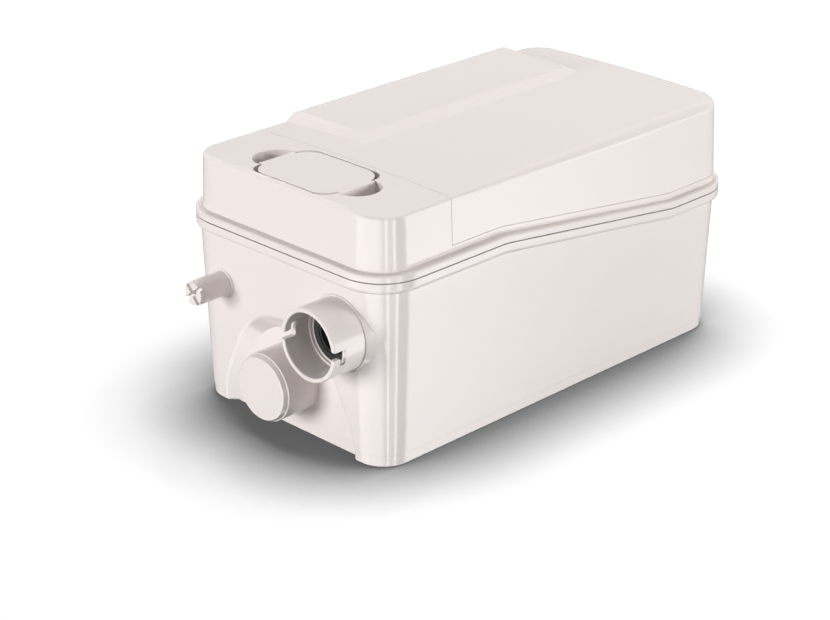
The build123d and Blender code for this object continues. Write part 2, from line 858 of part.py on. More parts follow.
def make_motor_hood():
    """Lift-off hood over the motor and electronics."""
    front, middle, rear = lid_exterior()
    body = middle + rear + plateau_block()
    body &= beyond_x(shut_line_x + shut_gap)
    body &= above_joint(shut_line_rise + shut_gap)
    body -= inside(lid_wall)
    far_y = lid_width / 2 - 3 * lid_wall
    pocket_x = (plateau_front_x + plateau_rear_x) / 2
    pocket_y = (plateau_near_y + far_y) / 2
    length = plateau_rear_x - plateau_front_x - 2 * lid_wall
    width = far_y - plateau_near_y - 2 * lid_wall
    pocket = RectangleRounded(length, width, plateau_rear_corner)
    body -= upright(pocket, pocket_x, pocket_y, crown_height - 4 * lid_wall, plateau_top - lid_wall)
    for x, y in peg_places():
        body += rod_z(peg_radius, x, y, peg_seat_z, peg_root_z(x, y))
        body += rod_z(peg_tip_radius, x, y, peg_seat_z - peg_tip_length, peg_seat_z + 1)
    body -= entry_panel(shut_gap)
    return body


def make_hatch_cover():
    """Pull-out cover of the vent hatch: a cup with its open side down."""
    low = crown_height - well_depth + hatch_seal_height
    body = upright(cover_outline(0.0), hatch_x, 0, low, ceiling) & under_camber(0.0)
    body = fillet(body.faces().sort_by(Axis.Z)[-1].edges(), cover_edge)
    return body - upright(cover_outline(cover_skirt), hatch_x, 0, low - 1, cover_ceiling_z())


def cover_ceiling_z():
    """Underside of the hatch cover's plate."""
    return camber_z(cover_half_width) - cover_plate


def make_hatch_seal():
    """Soft ring under the cover's skirt."""
    low = crown_height - well_depth
    ring = cover_outline(0.0) - cover_outline(cover_skirt)
    return upright(ring, hatch_x, 0, low, low + hatch_seal_height)


def make_carbon_filter():
    """Odour filter cartridge that hangs in the cover, with rows of air holes."""
    low = crown_height - well_depth + filter_clearance
    length = hatch_width - 2 * (cover_gap + cover_skirt + filter_clearance)
    plan = RectangleRounded(filter_width(), length, cover_corner - cover_skirt - filter_clearance)
    body = upright(plan, hatch_x, 0, low, cover_ceiling_z())
    holes = GridLocations(filter_hole_pitch, filter_hole_pitch, 5, 8)
    cups = Sketch() + [place * Circle(filter_hole_radius) for place in holes]
    return body - upright(cups, hatch_x, 0, low - 1, low + filter_hole_depth)


def make_screw(radius, head, x, y, z_seat, length, up):
    """Pan-head screw with its head's seat at a height, head up or down."""
    sign = 1 if up else -1
    shank = sorted((z_seat, z_seat - sign * length))
    cap = sorted((z_seat, z_seat + sign * head_height))
    body = rod_z(head, x, y, cap[0], cap[1])
    rim = body.edges().group_by(Axis.Z)[-1 if up else 0]
    body = fillet(rim, head_height / 3)
    drive = sorted((z_seat + sign * head_height / 2, z_seat + 2 * sign * head_height))
    body -= box_between((x - head * 0.7, y - head / 7, drive[0]), (x + head * 0.7, y + head / 7, drive[1]))
    body -= box_between((x - head / 7, y - head * 0.7, drive[0]), (x + head / 7, y + head * 0.7, drive[1]))
    return body + rod_z(radius, x, y, shank[0], shank[1])


def make_lid_screws():
    """Screws from the deck into the tank's bosses."""
    places = lid_screw_places()
    seats = [(x, y, joint_z(x) + lid_pad_rise) for x, y in places]
    return Compound(
        [make_screw(lid_screw_radius, lid_screw_head, x, y, z, lid_screw_length, True) for x, y, z in seats]
    )


def seal_start_x():
    """Outer end of the ribbed seal, behind the socket's ledge."""
    return outlet_shoulder_x + ledge_width + running_clearance


def seat_x():
    """Face of the valve seat's wall."""
    return seal_start_x() + seal_length + valve_chamber_length


def make_outlet_seal():
    """Ribbed rubber sleeve that grips the discharge pipe."""
    start = seal_start_x()
    body = outlet_rod(seal_radius, start, start + seal_length)
    body -= outlet_rod(seal_bore, start - 1, start + seal_length + 1)
    pitch = seal_length / seal_rib_count
    for i in range(seal_rib_count):
        x = start + (i + 0.5) * pitch
        rib = outlet_rod(seal_bore + seal_rib / 2, x - pitch / 4, x + pitch / 4)
        body += rib - outlet_rod(seal_bore - seal_rib, x - pitch, x + pitch)
    return body


def make_valve_body():
    """Chamber of the non-return valve, with its flange and hose tail."""
    flange_x = valve_pad_x + valve_flange_thick
    seat = seat_x()
    tail = seat + valve_wall + hose_tail_length
    barrel = valve_chamber + valve_wall
    body = outlet_rod(valve_flange_radius, valve_pad_x, flange_x)
    body -= box_between((-reach, -reach, 0), (0, outlet_y - valve_flange_flat, reach))
    body += outlet_rod(barrel, valve_pad_x, seat + valve_wall)
    body += outlet_rod(hose_tail_radius, seat, tail)
    body -= outlet_rod(seal_radius + thread_clearance, valve_pad_x - 1, seal_start_x() + seal_length)
    body -= outlet_rod(valve_chamber, valve_pad_x - 1, seat)
    body += outlet_rod(flow_bore + valve_seat_lip, seat - valve_seat_lip, seat + 1)
    body -= outlet_rod(flow_bore, seat - 2 * valve_seat_lip, tail + 1)
    for y, z in valve_screw_places():
        body -= rod_x(small_screw_radius + thread_clearance, valve_pad_x - 1, flange_x + 1, y, z)
    body -= flap_pin(0.0)
    return body


def flap_pin_x():
    """X of the flap's hinge axis."""
    return seat_x() - flap_eye_radius - 4 * running_clearance


def flap_pin(grow):
    """Pin along Y through the valve chamber's wall."""
    length = 2 * (valve_chamber + valve_wall / 2) * cos(flap_pin_rise / (valve_chamber + valve_wall / 2))
    place = Pos(flap_pin_x(), outlet_y, outlet_z + flap_pin_rise) * Rot(90, 0, 0)
    return place * Cylinder(flap_pin_radius + grow, length + 2 * grow)


def make_valve_flap():
    """Rubber-faced flap that hangs on its pin against the seat."""
    face = seat_x() - valve_seat_lip - running_clearance
    body = outlet_rod(flap_radius, face - flap_thick, face)
    eye = Pos(flap_pin_x(), outlet_y, outlet_z + flap_pin_rise) * Rot(90, 0, 0)
    body += eye * Cylinder(flap_eye_radius, flap_eye_length)
    weight = outlet_rod(flap_radius / 2, face - 2 * flap_thick, face - flap_thick / 2)
    body += weight
    return body - flap_pin(running_clearance)


def make_valve_screws():
    """Screws through the valve's flange into the tank's pad."""
    seat = valve_pad_x + valve_flange_thick
    length = valve_flange_thick + valve_screw_bite - thread_clearance
    screws = []
    for y, z in valve_screw_places():
        shank = rod_x(small_screw_radius, seat - length, seat + 0.5, y, z)
        screws.append(shank + rod_x(small_screw_head, seat, seat + head_height, y, z))
    return Compound(screws)


def make_drain_plug():
    """Cross-slotted plug that closes the drain stub."""
    face = stub_end_x - plug_head
    body = rod_x(plug_head_radius, face, stub_end_x, stub_y, stub_z)
    body = fillet(body.edges().group_by(Axis.X)[0], edge_round)
    body += rod_x(stub_bore - running_clearance, stub_end_x - 1, stub_end_x + plug_shank, stub_y, stub_z)
    deep = face + plug_slot_depth
    side = 2 * stub_radius
    bar = box_between((face - 1, -side, -plug_slot / 2), (deep, side, plug_slot / 2))
    for turn in (plug_slot_turn, plug_slot_turn + 90):
        body -= Pos(0, stub_y, stub_z) * Rot(turn, 0, 0) * bar
    body -= rod_x(plug_hole_radius, face - 1, face + plug_head, stub_y, stub_z)
    return body - oring_torus(oring_section)


def oring_torus(section):
    """Ring in the groove of the plug's shank."""
    middle = stub_bore - 2 * running_clearance - oring_section
    place = Pos(stub_end_x + plug_shank / 2, stub_y, stub_z) * Rot(0, 90, 0)
    return place * Torus(middle, section)


def make_dip_tube():
    """Tube from the drain stub down to the tank's floor."""
    low = tank_floor + dip_tube_floor_gap
    start = stub_end_x + plug_shank + 2
    points = [(start, stub_y, stub_z), (dip_tube_x, stub_y, stub_z), (dip_tube_x, stub_y, low)]
    return tube(FilletPolyline(*points, radius=dip_tube_bend), stub_bore - thread_clearance, dip_tube_bore)


def pump_outlet_y():
    """Y of the volute's tangential outlet."""
    return -(volute_radius - volute_wall - flow_bore)


def pump_outlet_z():
    """Height of the volute's outlet axis."""
    return (volute_bottom_z + well_floor_z) / 2 + volute_wall / 2


def make_volute():
    """Pump casing under the motor well, with a hose tail and screw ears."""
    body = rod_z(volute_radius, motor_x, 0, volute_bottom_z, well_floor_z)
    for turn in (0, 90, 180, 270):
        arm = box_between(
            (0, -volute_ear_size, well_floor_z - ear_thick),
            (volute_ear_radius, volute_ear_size, well_floor_z),
        )
        body += Pos(motor_x, 0, 0) * Rot(0, 0, turn) * arm
    places = around(volute_ear_radius, 4, 0)
    for x, y in places:
        body += rod_z(volute_ear_size, x, y, well_floor_z - ear_thick, well_floor_z)
    y = pump_outlet_y()
    z = pump_outlet_z()
    body += rod_x(hose_tail_radius, pump_outlet_x, motor_x, y, z)
    body -= rod_z(volute_radius - volute_wall, motor_x, 0, volute_bottom_z + volute_wall, well_floor_z + 1)
    body -= rod_x(flow_bore, pump_outlet_x - 1, motor_x, y, z)
    body -= rod_z(suction_eye, motor_x, 0, volute_bottom_z - 1, volute_bottom_z + 2 * volute_wall)
    for x, y in places:
        body -= rod_z(lid_screw_radius + hole_clearance, x, y, well_floor_z - 10, well_floor_z + 1)
    return body


def make_volute_screws():
    """Screws from below through the volute's ears."""
    seat = well_floor_z - ear_thick
    length = ear_thick + volute_screw_bite - 1
    places = around(volute_ear_radius, 4, 0)
    return Compound(
        [make_screw(lid_screw_radius, small_screw_head + 1, x, y, seat, length, False) for x, y in places]
    )


def make_strainer():
    """Castellated ring round the suction eye."""
    low = tank_floor + strainer_floor_gap
    body = ring_z(strainer_radius, strainer_radius - strainer_wall, motor_x, 0, low, volute_bottom_z)
    width = strainer_radius * radians(360 / strainer_slots) / 2
    high = volute_bottom_z - strainer_wall
    bar = box_between((0, -width / 2, low - 1), (2 * strainer_radius, width / 2, high))
    for i in range(strainer_slots):
        body -= Pos(motor_x, 0, 0) * Rot(0, 0, 360 / strainer_slots * (i + 0.5)) * bar
    return body


def make_impeller():
    """Open impeller with swept vanes under its disc."""
    low = impeller_top_z - impeller_height
    body = rod_z(impeller_radius, motor_x, 0, impeller_top_z - impeller_disc, impeller_top_z)
    body += rod_z(impeller_hub, motor_x, 0, low, impeller_top_z)
    root = impeller_hub * 0.8
    tip = impeller_radius - 0.5
    sweep_turn = radians(vane_sweep)
    spread = vane_thick / impeller_radius
    sides = []
    for turn in (0.0, spread):
        inner = (root * cos(turn), root * sin(turn))
        bend = (0.65 * tip * cos(turn - sweep_turn / 4), 0.65 * tip * sin(turn - sweep_turn / 4))
        outer = (tip * cos(turn - sweep_turn), tip * sin(turn - sweep_turn))
        sides.append((inner, bend, outer))
    first, second = sides
    edges = ThreePointArc(*first) + Line(first[2], second[2])
    edges += ThreePointArc(*second) + Line(second[0], first[0])
    vane = make_face(edges)
    for i in range(vane_count):
        turned = Rot(0, 0, 360 / vane_count * i) * vane
        body += upright(turned, motor_x, 0, low, impeller_top_z - impeller_disc / 2)
    return body - rod_z(shaft_radius, motor_x, 0, low - 1, impeller_top_z + 1)


def make_impeller_nut():
    """Nut that holds the impeller on the shaft."""
    low = impeller_top_z - impeller_height - nut_height
    plan = RegularPolygon(shaft_radius * 1.7, 6)
    body = upright(plan, motor_x, 0, low, low + nut_height)
    return body - rod_z(shaft_radius, motor_x, 0, low - 1, low + nut_height + 1)


def bearing_low_z():
    """Underside of the lower bearing."""
    return well_floor_z + well_floor + shield_plate


def bearing_high_z():
    """Underside of the upper bearing."""
    return can_top_z + shield_cap - upper_bearing_width


def make_shaft():
    """Motor shaft, which also carries the impeller."""
    low = impeller_top_z - impeller_height - nut_height - 0.5
    shoulder = bearing_low_z() + lower_bearing_width + 0.2
    top = bearing_high_z()
    body = rod_z(shaft_radius, motor_x, 0, low, shoulder)
    body += rod_z(rotor_bore, motor_x, 0, shoulder, top - 0.2)
    tip = rod_z(shaft_top_radius, motor_x, 0, top - 1, top + upper_bearing_width + 0.3)
    return body + tip


def make_rotor_core():
    """Rotor stack with its end rings."""
    low = stator_middle_z - rotor_height / 2
    high = stator_middle_z + rotor_height / 2
    body = ring_z(rotor_radius, rotor_bore, motor_x, 0, low, high)
    for z in (low - 2, high):
        body += ring_z(rotor_radius - 2, rotor_bore + 5, motor_x, 0, z, z + 2)
    return body


def make_bearing(outer, bore, z_low, width):
    """Ball bearing as one ring with its races marked by grooves."""
    body = ring_z(outer, bore + bearing_clearance, motor_x, 0, z_low, z_low + width)
    third = (outer - bore) / 3
    for z in (z_low - 1, z_low + width - 1):
        body -= ring_z(outer - third, bore + third, motor_x, 0, z, z + 2)
    return body


def make_shaft_seal():
    """Lip seal in the well's floor, round the shaft."""
    low = well_floor_z - motor_well_wall / 2
    body = ring_z(seal_ring_radius, shaft_radius + running_clearance, motor_x, 0, low, low + seal_ring_height)
    groove = ring_z(seal_ring_radius - 2, shaft_radius + 2, motor_x, 0, low - 1, low + seal_ring_height / 2)
    return body - groove


def make_lower_end_shield():
    """Lower bearing plate on the well's floor."""
    low = well_floor_z + well_floor
    seat = bearing_low_z()
    hub = lower_bearing_radius + hub_wall
    body = rod_z(can_radius, motor_x, 0, low, seat) + rod_z(hub, motor_x, 0, seat, seat + lower_bearing_width)
    body -= rod_z(lower_bearing_radius, motor_x, 0, seat, seat + lower_bearing_width + 1)
    body -= rod_z(seal_ring_radius + motor_well_wall + 0.5, motor_x, 0, low - 1, seat - motor_well_wall + 0.5)
    return body - rod_z(shaft_radius + 3, motor_x, 0, low - 1, seat + 1)


def make_motor_can():
    """Pressed casing of the motor, with four ears on the deck's pads."""
    body = rod_z(can_radius, motor_x, 0, bearing_low_z(), can_top_z)
    for turn in (45, 135, 225, 315):
        arm = box_between((0, -ear_size, ear_z), (ear_radius, ear_size, ear_z + ear_thick))
        body += Pos(motor_x, 0, 0) * Rot(0, 0, turn) * arm
    places = around(ear_radius, 4, 45)
    for x, y in places:
        body += rod_z(ear_size, x, y, ear_z, ear_z + ear_thick)
    body -= rod_z(can_radius - can_wall, motor_x, 0, bearing_low_z() - 1, can_top_z + 1)
    for x, y in places:
        body -= rod_z(lid_screw_radius + hole_clearance, x, y, ear_z - 1, ear_z + ear_thick + 1)
    return body


def make_stator_core():
    """Laminated stator stack with open slots."""
    low = stator_middle_z - stator_height / 2
    high = stator_middle_z + stator_height / 2
    outer = can_radius - can_wall
    body = ring_z(outer, stator_bore, motor_x, 0, low, high)
    depth = winding_outer_radius()
    bar = box_between((0, -slot_opening / 2, low - 1), (depth, slot_opening / 2, high + 1))
    bar -= rod_z(stator_bore - 1, 0, 0, low - 2, high + 2)
    for i in range(stator_slots):
        body -= Pos(motor_x, 0, 0) * Rot(0, 0, 360 / stator_slots * i) * bar
    return body


def winding_outer_radius():
    """Outer radius of the end windings."""
    return stator_bore + 3 + winding_section


def make_winding(z_low):
    """End winding, varnished into one ring."""
    outer = winding_outer_radius()
    body = ring_z(outer, outer - winding_section, motor_x, 0, z_low, z_low + winding_height)
    return fillet(body.edges(), winding_section / 4)


def make_winding_upper():
    """End winding over the stator stack."""
    return make_winding(stator_middle_z + stator_height / 2)


def make_winding_lower():
    """End winding under the stator stack."""
    return make_winding(stator_middle_z - stator_height / 2 - winding_height)


def make_bearing_lower():
    """Lower ball bearing."""
    return make_bearing(lower_bearing_radius, shaft_radius, bearing_low_z(), lower_bearing_width)


def make_bearing_upper():
    """Upper ball bearing."""
    return make_bearing(upper_bearing_radius, shaft_top_radius, bearing_high_z(), upper_bearing_width)


def make_upper_end_shield():
    """Cap of the motor with the upper bearing's seat and cooling ribs."""
    top = can_top_z + shield_cap
    hub = upper_bearing_radius + hub_wall
    seat = bearing_high_z()
    body = rod_z(can_radius, motor_x, 0, can_top_z, top)
    body = fillet(body.edges().group_by(Axis.Z)[-1], shield_cap / 3)
    body += rod_z(hub, motor_x, 0, seat, top + hub_wall)
    for i in range(shield_ribs):
        rib = box_between((hub - 1, -1, can_top_z + 1), (can_radius - 3, 1, top + 2))
        body += Pos(motor_x, 0, 0) * Rot(0, 0, 360 / shield_ribs * (i + 0.5)) * rib
    body -= rod_z(upper_bearing_radius, motor_x, 0, seat - 1, top)
    body -= rod_z(shaft_top_radius + 1, motor_x, 0, seat - 1, top + 1)
    return body


def make_motor_screws():
    """Screws through the motor's ears."""
    seat = ear_z + ear_thick
    length = ear_thick + motor_screw_bite - 1
    places = around(ear_radius, 4, 45)
    return Compound(
        [make_screw(lid_screw_radius, lid_screw_head, x, y, seat, length, True) for x, y in places]
    )


def hose_ends():
    """X of the hose's pump end and valve end."""
    pump_end = pump_outlet_x + hose_tail_length - 1
    valve_end = seat_x() + valve_wall + 1
    return pump_end, valve_end


def make_riser_hose():
    """Rubber hose from the pump up to the non-return valve."""
    pump_end, valve_end = hose_ends()
    low = (pump_outlet_y(), pump_outlet_z())
    high = (outlet_y, outlet_z)
    points = [(pump_end, *low), (hose_bend_low_x, *low), (hose_bend_top_x, *high), (valve_end, *high)]
    path = FilletPolyline(*points, radius=hose_bend)
    return tube(path, hose_tail_radius + hose_wall, hose_tail_radius)


def make_hose_clamps():
    """Worm-drive clamps on both ends of the riser hose."""
    pump_end, valve_end = hose_ends()
    inner = hose_tail_radius + hose_wall
    outer = inner + clamp_wall
    clamps = []
    ends = [
        (pump_end - clamp_width, pump_outlet_y(), pump_outlet_z()),
        (valve_end + clamp_width, outlet_y, outlet_z),
    ]
    for x, y, z in ends:
        ring = rod_x(outer, x - clamp_width / 2, x + clamp_width / 2, y, z)
        barrel = Rot(90, 0, 0) * Cylinder(clamp_screw, 4 * clamp_screw)
        ring += Pos(x, y, z + outer + clamp_screw / 2) * barrel
        clamps.append(ring - rod_x(inner, x - clamp_width, x + clamp_width, y, z))
    return Compound(clamps)


def make_pressure_bell():
    """Air bell that feels the water level, with a threaded neck and a nipple."""
    top = joint_front + half_gap
    neck = top + deck_thickness + bell_nut_height + 1
    body = rod_z(bell_radius, bell_x, bell_y, bell_mouth_z, top)
    body += rod_z(bell_thread_radius, bell_x, bell_y, top - 1, neck)
    body += rod_z(nipple_radius, bell_x, bell_y, neck - 1, neck + nipple_height)
    body -= rod_z(bell_radius - bell_wall, bell_x, bell_y, bell_mouth_z - 1, top - bell_wall)
    return body - rod_z(nipple_bore, bell_x, bell_y, bell_mouth_z, ceiling)


def make_bell_nut():
    """Nut that holds the bell under the deck."""
    low = joint_front + half_gap + deck_thickness
    body = upright(RegularPolygon(bell_nut_radius, 6), bell_x, bell_y, low, low + bell_nut_height)
    return body - rod_z(bell_thread_radius, bell_x, bell_y, low - 1, low + bell_nut_height + 1)


def board_top():
    """Upper face of the circuit board."""
    return board_z + board_thick


def make_sensor_hose():
    """Air hose from the bell to the pressure sensor."""
    low = joint_front + half_gap + deck_thickness + bell_nut_height + 1
    end = board_top() + sensor_height + running_clearance
    points = [
        (bell_x, bell_y, low),
        (bell_x, bell_y, sensor_hose_top_z),
        (sensor_x, sensor_y, sensor_hose_top_z),
        (sensor_x, sensor_y, end),
    ]
    path = FilletPolyline(*points, radius=sensor_hose_bend)
    return tube(path, nipple_radius + sensor_hose_wall, nipple_radius)


def on_board(x, y, length, width, height):
    """Block that stands on the circuit board."""
    low = (x - length / 2, y - width / 2, board_top())
    return box_between(low, (x + length / 2, y + width / 2, board_top() + height))


def soft_top(body, rounding):
    """Block with its upper edges rounded."""
    return fillet(body.edges().group_by(Axis.Z)[-1], rounding)


def make_circuit_board():
    """Bare board on four standoffs."""
    plan = RectangleRounded(board_length, board_width, edge_round * 2)
    body = upright(plan, board_x, board_y, board_z, board_top())
    for x, y in board_corners():
        body -= rod_z(small_screw_radius + hole_clearance, x, y, board_z - 1, board_top() + 1)
    return body


def make_board_screws():
    """Screws of the circuit board."""
    length = board_thick + small_screw_bite - 1
    screws = []
    for x, y in board_corners():
        screws.append(make_screw(small_screw_radius, small_screw_head, x, y, board_top(), length, True))
    return Compound(screws)


def make_pressure_sensor():
    """Level sensor with a nipple for the air hose."""
    body = soft_top(on_board(sensor_x, sensor_y, sensor_size, sensor_size, sensor_height), edge_round)
    top = board_top() + sensor_height
    body += rod_z(nipple_radius, sensor_x, sensor_y, top - 1, sensor_hose_top_z - sensor_hose_bend)
    return body - rod_z(nipple_bore, sensor_x, sensor_y, top - 1, ceiling)


def make_relay():
    """Relay that switches the motor."""
    return soft_top(on_board(relay_x, relay_y, relay_length, relay_width, relay_height), edge_round)


def make_transformer():
    """Supply transformer: a core with its bobbin."""
    length = transformer_length
    width = transformer_width
    height = transformer_height
    core = on_board(transformer_x, transformer_y, length, width / 2, height)
    bobbin = on_board(transformer_x, transformer_y, length * 0.7, width, height * 0.8)
    return core + soft_top(bobbin, edge_round)


def make_terminal_block():
    """Terminal block for mains, motor and capacitor."""
    block_body = on_board(terminal_x, terminal_y, terminal_length, terminal_width, terminal_height)
    body = soft_top(block_body, edge_round)
    pitch = terminal_width / terminal_ways
    top = board_top() + terminal_height
    entry = board_top() + terminal_height / 3
    for i in range(terminal_ways):
        y = terminal_y + (i + 0.5 - terminal_ways / 2) * pitch
        body -= rod_z(pitch / 4, terminal_x + terminal_length / 5, y, top - 3, top + 1)
        body -= rod_x(pitch / 4, terminal_x, terminal_x + terminal_length, y, entry)
    return body


def make_run_capacitor():
    """Motor capacitor, lying along the far side."""
    end = capacitor_x + capacitor_length
    body = rod_x(capacitor_radius, capacitor_x, end, capacitor_y, capacitor_z)
    return fillet(body.edges().filter_by(GeomType.CIRCLE), 2 * edge_round)


def make_capacitor_clips():
    """Two open spring clips under the capacitor."""
    clips = []
    outer = capacitor_radius + clip_wall
    for x in clip_places():
        low = x - clip_width / 2
        high = x + clip_width / 2
        clip = rod_x(outer, low, high, capacitor_y, capacitor_z)
        clip += box_between(
            (low, capacitor_y - clip_foot_width / 2, clip_foot_z()),
            (high, capacitor_y + clip_foot_width / 2, capacitor_z - capacitor_radius / 2),
        )
        clip -= rod_x(capacitor_radius, low - 1, high + 1, capacitor_y, capacitor_z)
        cut_z = capacitor_z + capacitor_radius * cos(radians(clip_opening / 2))
        clip -= box_between((low - 1, capacitor_y - outer, cut_z), (high + 1, capacitor_y + outer, ceiling))
        clips.append(clip)
    return Compound(clips)


def make_motor_lead():
    """Sleeved lead from the motor's cap to the terminal block."""
    end = board_top() + terminal_height
    start = can_top_z + shield_cap
    points = [
        (motor_lead_x, motor_lead_y, start),
        (motor_lead_x, motor_lead_y, lead_height),
        (terminal_x - terminal_length / 5, motor_lead_y, lead_height),
        (terminal_x - terminal_length / 5, motor_lead_y, end),
    ]
    return tube(FilletPolyline(*points, radius=lead_bend), lead_radius)


def make_capacitor_lead():
    """Sleeved lead from the capacitor to the circuit board."""
    turn_x = capacitor_x - 2 * lead_bend / 1.5
    points = [
        (capacitor_x, capacitor_y, capacitor_z),
        (turn_x, capacitor_y, capacitor_z),
        (turn_x, capacitor_lead_y, capacitor_z),
        (turn_x, capacitor_lead_y, board_top()),
    ]
    return tube(FilletPolyline(*points, radius=lead_bend), lead_radius)


def make_cable_grommet():
    """Rubber bush in the rear panel for the mains cable."""
    face_x = entry_face_x()
    z = entry_z()
    body = rod_x(grommet_radius, face_x, face_x + grommet_flange, entry_y, z)
    body = fillet(body.edges().group_by(Axis.X)[-1], edge_round)
    body += rod_x(grommet_neck, face_x - entry_thick, face_x, entry_y, z)
    inner = face_x - entry_thick
    body += rod_x(grommet_radius, inner - grommet_flange, inner, entry_y, z)
    return body - rod_x(entry_bore, inner - 10, face_x + 10, entry_y, z)


makers = {
    "tank": make_tank,
    "rim_gasket": make_rim_gasket,
    "lid": make_lid,
    "lid_screws": make_lid_screws,
    "motor_hood": make_motor_hood,
    "hatch_cover": make_hatch_cover,
    "hatch_seal": make_hatch_seal,
    "carbon_filter": make_carbon_filter,
    "outlet_seal": make_outlet_seal,
    "valve_body": make_valve_body,
    "valve_flap": make_valve_flap,
    "valve_hinge_pin": lambda: flap_pin(0.0),
    "valve_screws": make_valve_screws,
    "riser_hose": make_riser_hose,
    "hose_clamps": make_hose_clamps,
    "drain_plug": make_drain_plug,
    "drain_plug_o_ring": lambda: oring_torus(oring_section),
    "drain_dip_tube": make_dip_tube,
    "volute": make_volute,
    "volute_screws": make_volute_screws,
    "suction_strainer": make_strainer,
    "impeller": make_impeller,
    "impeller_nut": make_impeller_nut,
    "shaft": make_shaft,
    "rotor_core": make_rotor_core,
    "shaft_seal": make_shaft_seal,
    "lower_end_shield": make_lower_end_shield,
    "bearing_lower": make_bearing_lower,
    "bearing_upper": make_bearing_upper,
    "motor_can": make_motor_can,
    "stator_core": make_stator_core,
    "winding_lower": make_winding_lower,
    "winding_upper": make_winding_upper,
    "upper_end_shield": make_upper_end_shield,
    "motor_screws": make_motor_screws,
    "pressure_bell": make_pressure_bell,
    "bell_nut": make_bell_nut,
    "sensor_hose": make_sensor_hose,
    "pressure_sensor": make_pressure_sensor,
    "circuit_board": make_circuit_board,
    "board_screws": make_board_screws,
    "relay": make_relay,
    "transformer": make_transformer,
    "terminal_block": make_terminal_block,
    "run_capacitor": make_run_capacitor,
    "capacitor_clips": make_capacitor_clips,
    "motor_lead": make_motor_lead,
    "capacitor_lead": make_capacitor_lead,
    "cable_grommet": make_cable_grommet,
}

if __name__ == "__main__":
    os.makedirs("parts", exist_ok=True)
    for name, maker in makers.items():
        piece = maker()
        export_step(piece, f"parts/{name}.step")
        print(name, len(piece.solids()), round(piece.volume, 1))
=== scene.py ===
# %% [markdown]
# # A wastewater lifting station
# This small off-white box stands on the floor of a bathroom or a cellar. Grey water runs in at
# one end, and a pump under the hood lifts it to the drain. Nearly every shape is already in the
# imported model, so this lesson is about light, plastic and the small parts under the hood. The
# first cell loads the model as a frame. Its pieces stay where they are, and keep their names.

# %% Load the frame
from math import cos, pi, radians, sin

import bmesh
import bpy
from mathutils import Matrix, Vector


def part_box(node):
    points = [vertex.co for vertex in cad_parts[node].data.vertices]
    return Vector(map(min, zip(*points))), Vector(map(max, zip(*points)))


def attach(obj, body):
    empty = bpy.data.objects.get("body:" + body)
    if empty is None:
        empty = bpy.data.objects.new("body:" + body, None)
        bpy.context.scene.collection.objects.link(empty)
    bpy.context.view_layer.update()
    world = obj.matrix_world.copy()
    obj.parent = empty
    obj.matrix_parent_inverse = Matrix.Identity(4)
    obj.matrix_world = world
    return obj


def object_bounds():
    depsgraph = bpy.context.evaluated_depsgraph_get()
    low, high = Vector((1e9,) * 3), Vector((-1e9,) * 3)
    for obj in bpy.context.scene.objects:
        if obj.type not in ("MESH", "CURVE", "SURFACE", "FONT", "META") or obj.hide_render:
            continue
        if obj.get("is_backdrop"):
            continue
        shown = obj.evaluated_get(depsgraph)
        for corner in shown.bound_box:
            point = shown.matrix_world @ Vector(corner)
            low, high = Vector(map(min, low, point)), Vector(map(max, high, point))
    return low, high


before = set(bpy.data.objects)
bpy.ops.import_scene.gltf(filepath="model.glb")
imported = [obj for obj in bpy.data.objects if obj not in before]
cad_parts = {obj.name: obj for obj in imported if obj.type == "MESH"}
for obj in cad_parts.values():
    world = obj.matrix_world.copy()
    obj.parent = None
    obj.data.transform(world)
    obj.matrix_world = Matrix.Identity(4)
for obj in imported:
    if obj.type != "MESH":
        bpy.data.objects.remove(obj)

cad_box = [list(corner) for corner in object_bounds()]
scene = bpy.context.scene
scene.view_settings.view_transform = "Standard"
print("pieces in the frame:", len(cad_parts))

# %% [markdown]
# ## The camera
# The photograph looks down on the port end from about 1.4 metres away, with a long lens. A camera
# could be aimed with a Track To constraint. Typing its place and its two angles is as short, and
# the angles say how the view was taken: 45 degrees round, and 24 degrees down.

# %% Camera
film_width, focal_length = 36, 99.37
looks_down, turned_round = 23.973, -44.976
camera_data = bpy.data.cameras.new("photo_camera")
camera_data.sensor_width = film_width
camera_data.lens = focal_length
camera = bpy.data.objects.new("photo_camera", camera_data)
camera.location = (-0.90686, -0.86509, 0.58624)
camera.rotation_euler = (radians(90 - looks_down), 0, radians(turned_round))
scene.collection.objects.link(camera)
scene.camera = camera
print("camera stands", round(camera.location.length, 2), "m from the origin")

# %% [markdown]
# ## Helpers for node trees
# Every finish below is a small tree of shader nodes. Adding a node, setting its inputs and linking
# it takes three lines each time, so a helper does it in one. It takes plain values for the sockets
# that stay fixed, and other nodes' outputs for those that are linked. The kinds of node that come
# up again and again, such as Math and Noise, get a shorter helper of their own.


# %% Node helpers
def add_node(tree, kind, inputs=None, **settings):
    """Adds one node, fills its inputs with values or links, and returns it."""
    node = tree.nodes.new(kind)
    for name, value in settings.items():
        setattr(node, name, value)
    for name, value in (inputs or {}).items():
        if isinstance(value, bpy.types.NodeSocket):
            tree.links.new(value, node.inputs[name])
        else:
            node.inputs[name].default_value = value
    return node


def maths(tree, operation, *values):
    """One Math node and its result."""
    node = add_node(tree, "ShaderNodeMath", dict(enumerate(values)), operation=operation)
    return node.outputs[0]


def noise(tree, place, scale, detail):
    """A noise read at a place, which swings about 0.5."""
    inputs = {"Vector": place, "Scale": scale, "Detail": detail}
    return add_node(tree, "ShaderNodeTexNoise", inputs).outputs["Fac"]


def map_range(tree, value, start, end, first=0.0, last=1.0):
    """Maps a value from start and end to first and last, and holds it at both."""
    inputs = {"Value": value, "From Min": start, "From Max": end, "To Min": first, "To Max": last}
    return add_node(tree, "ShaderNodeMapRange", inputs).outputs[0]


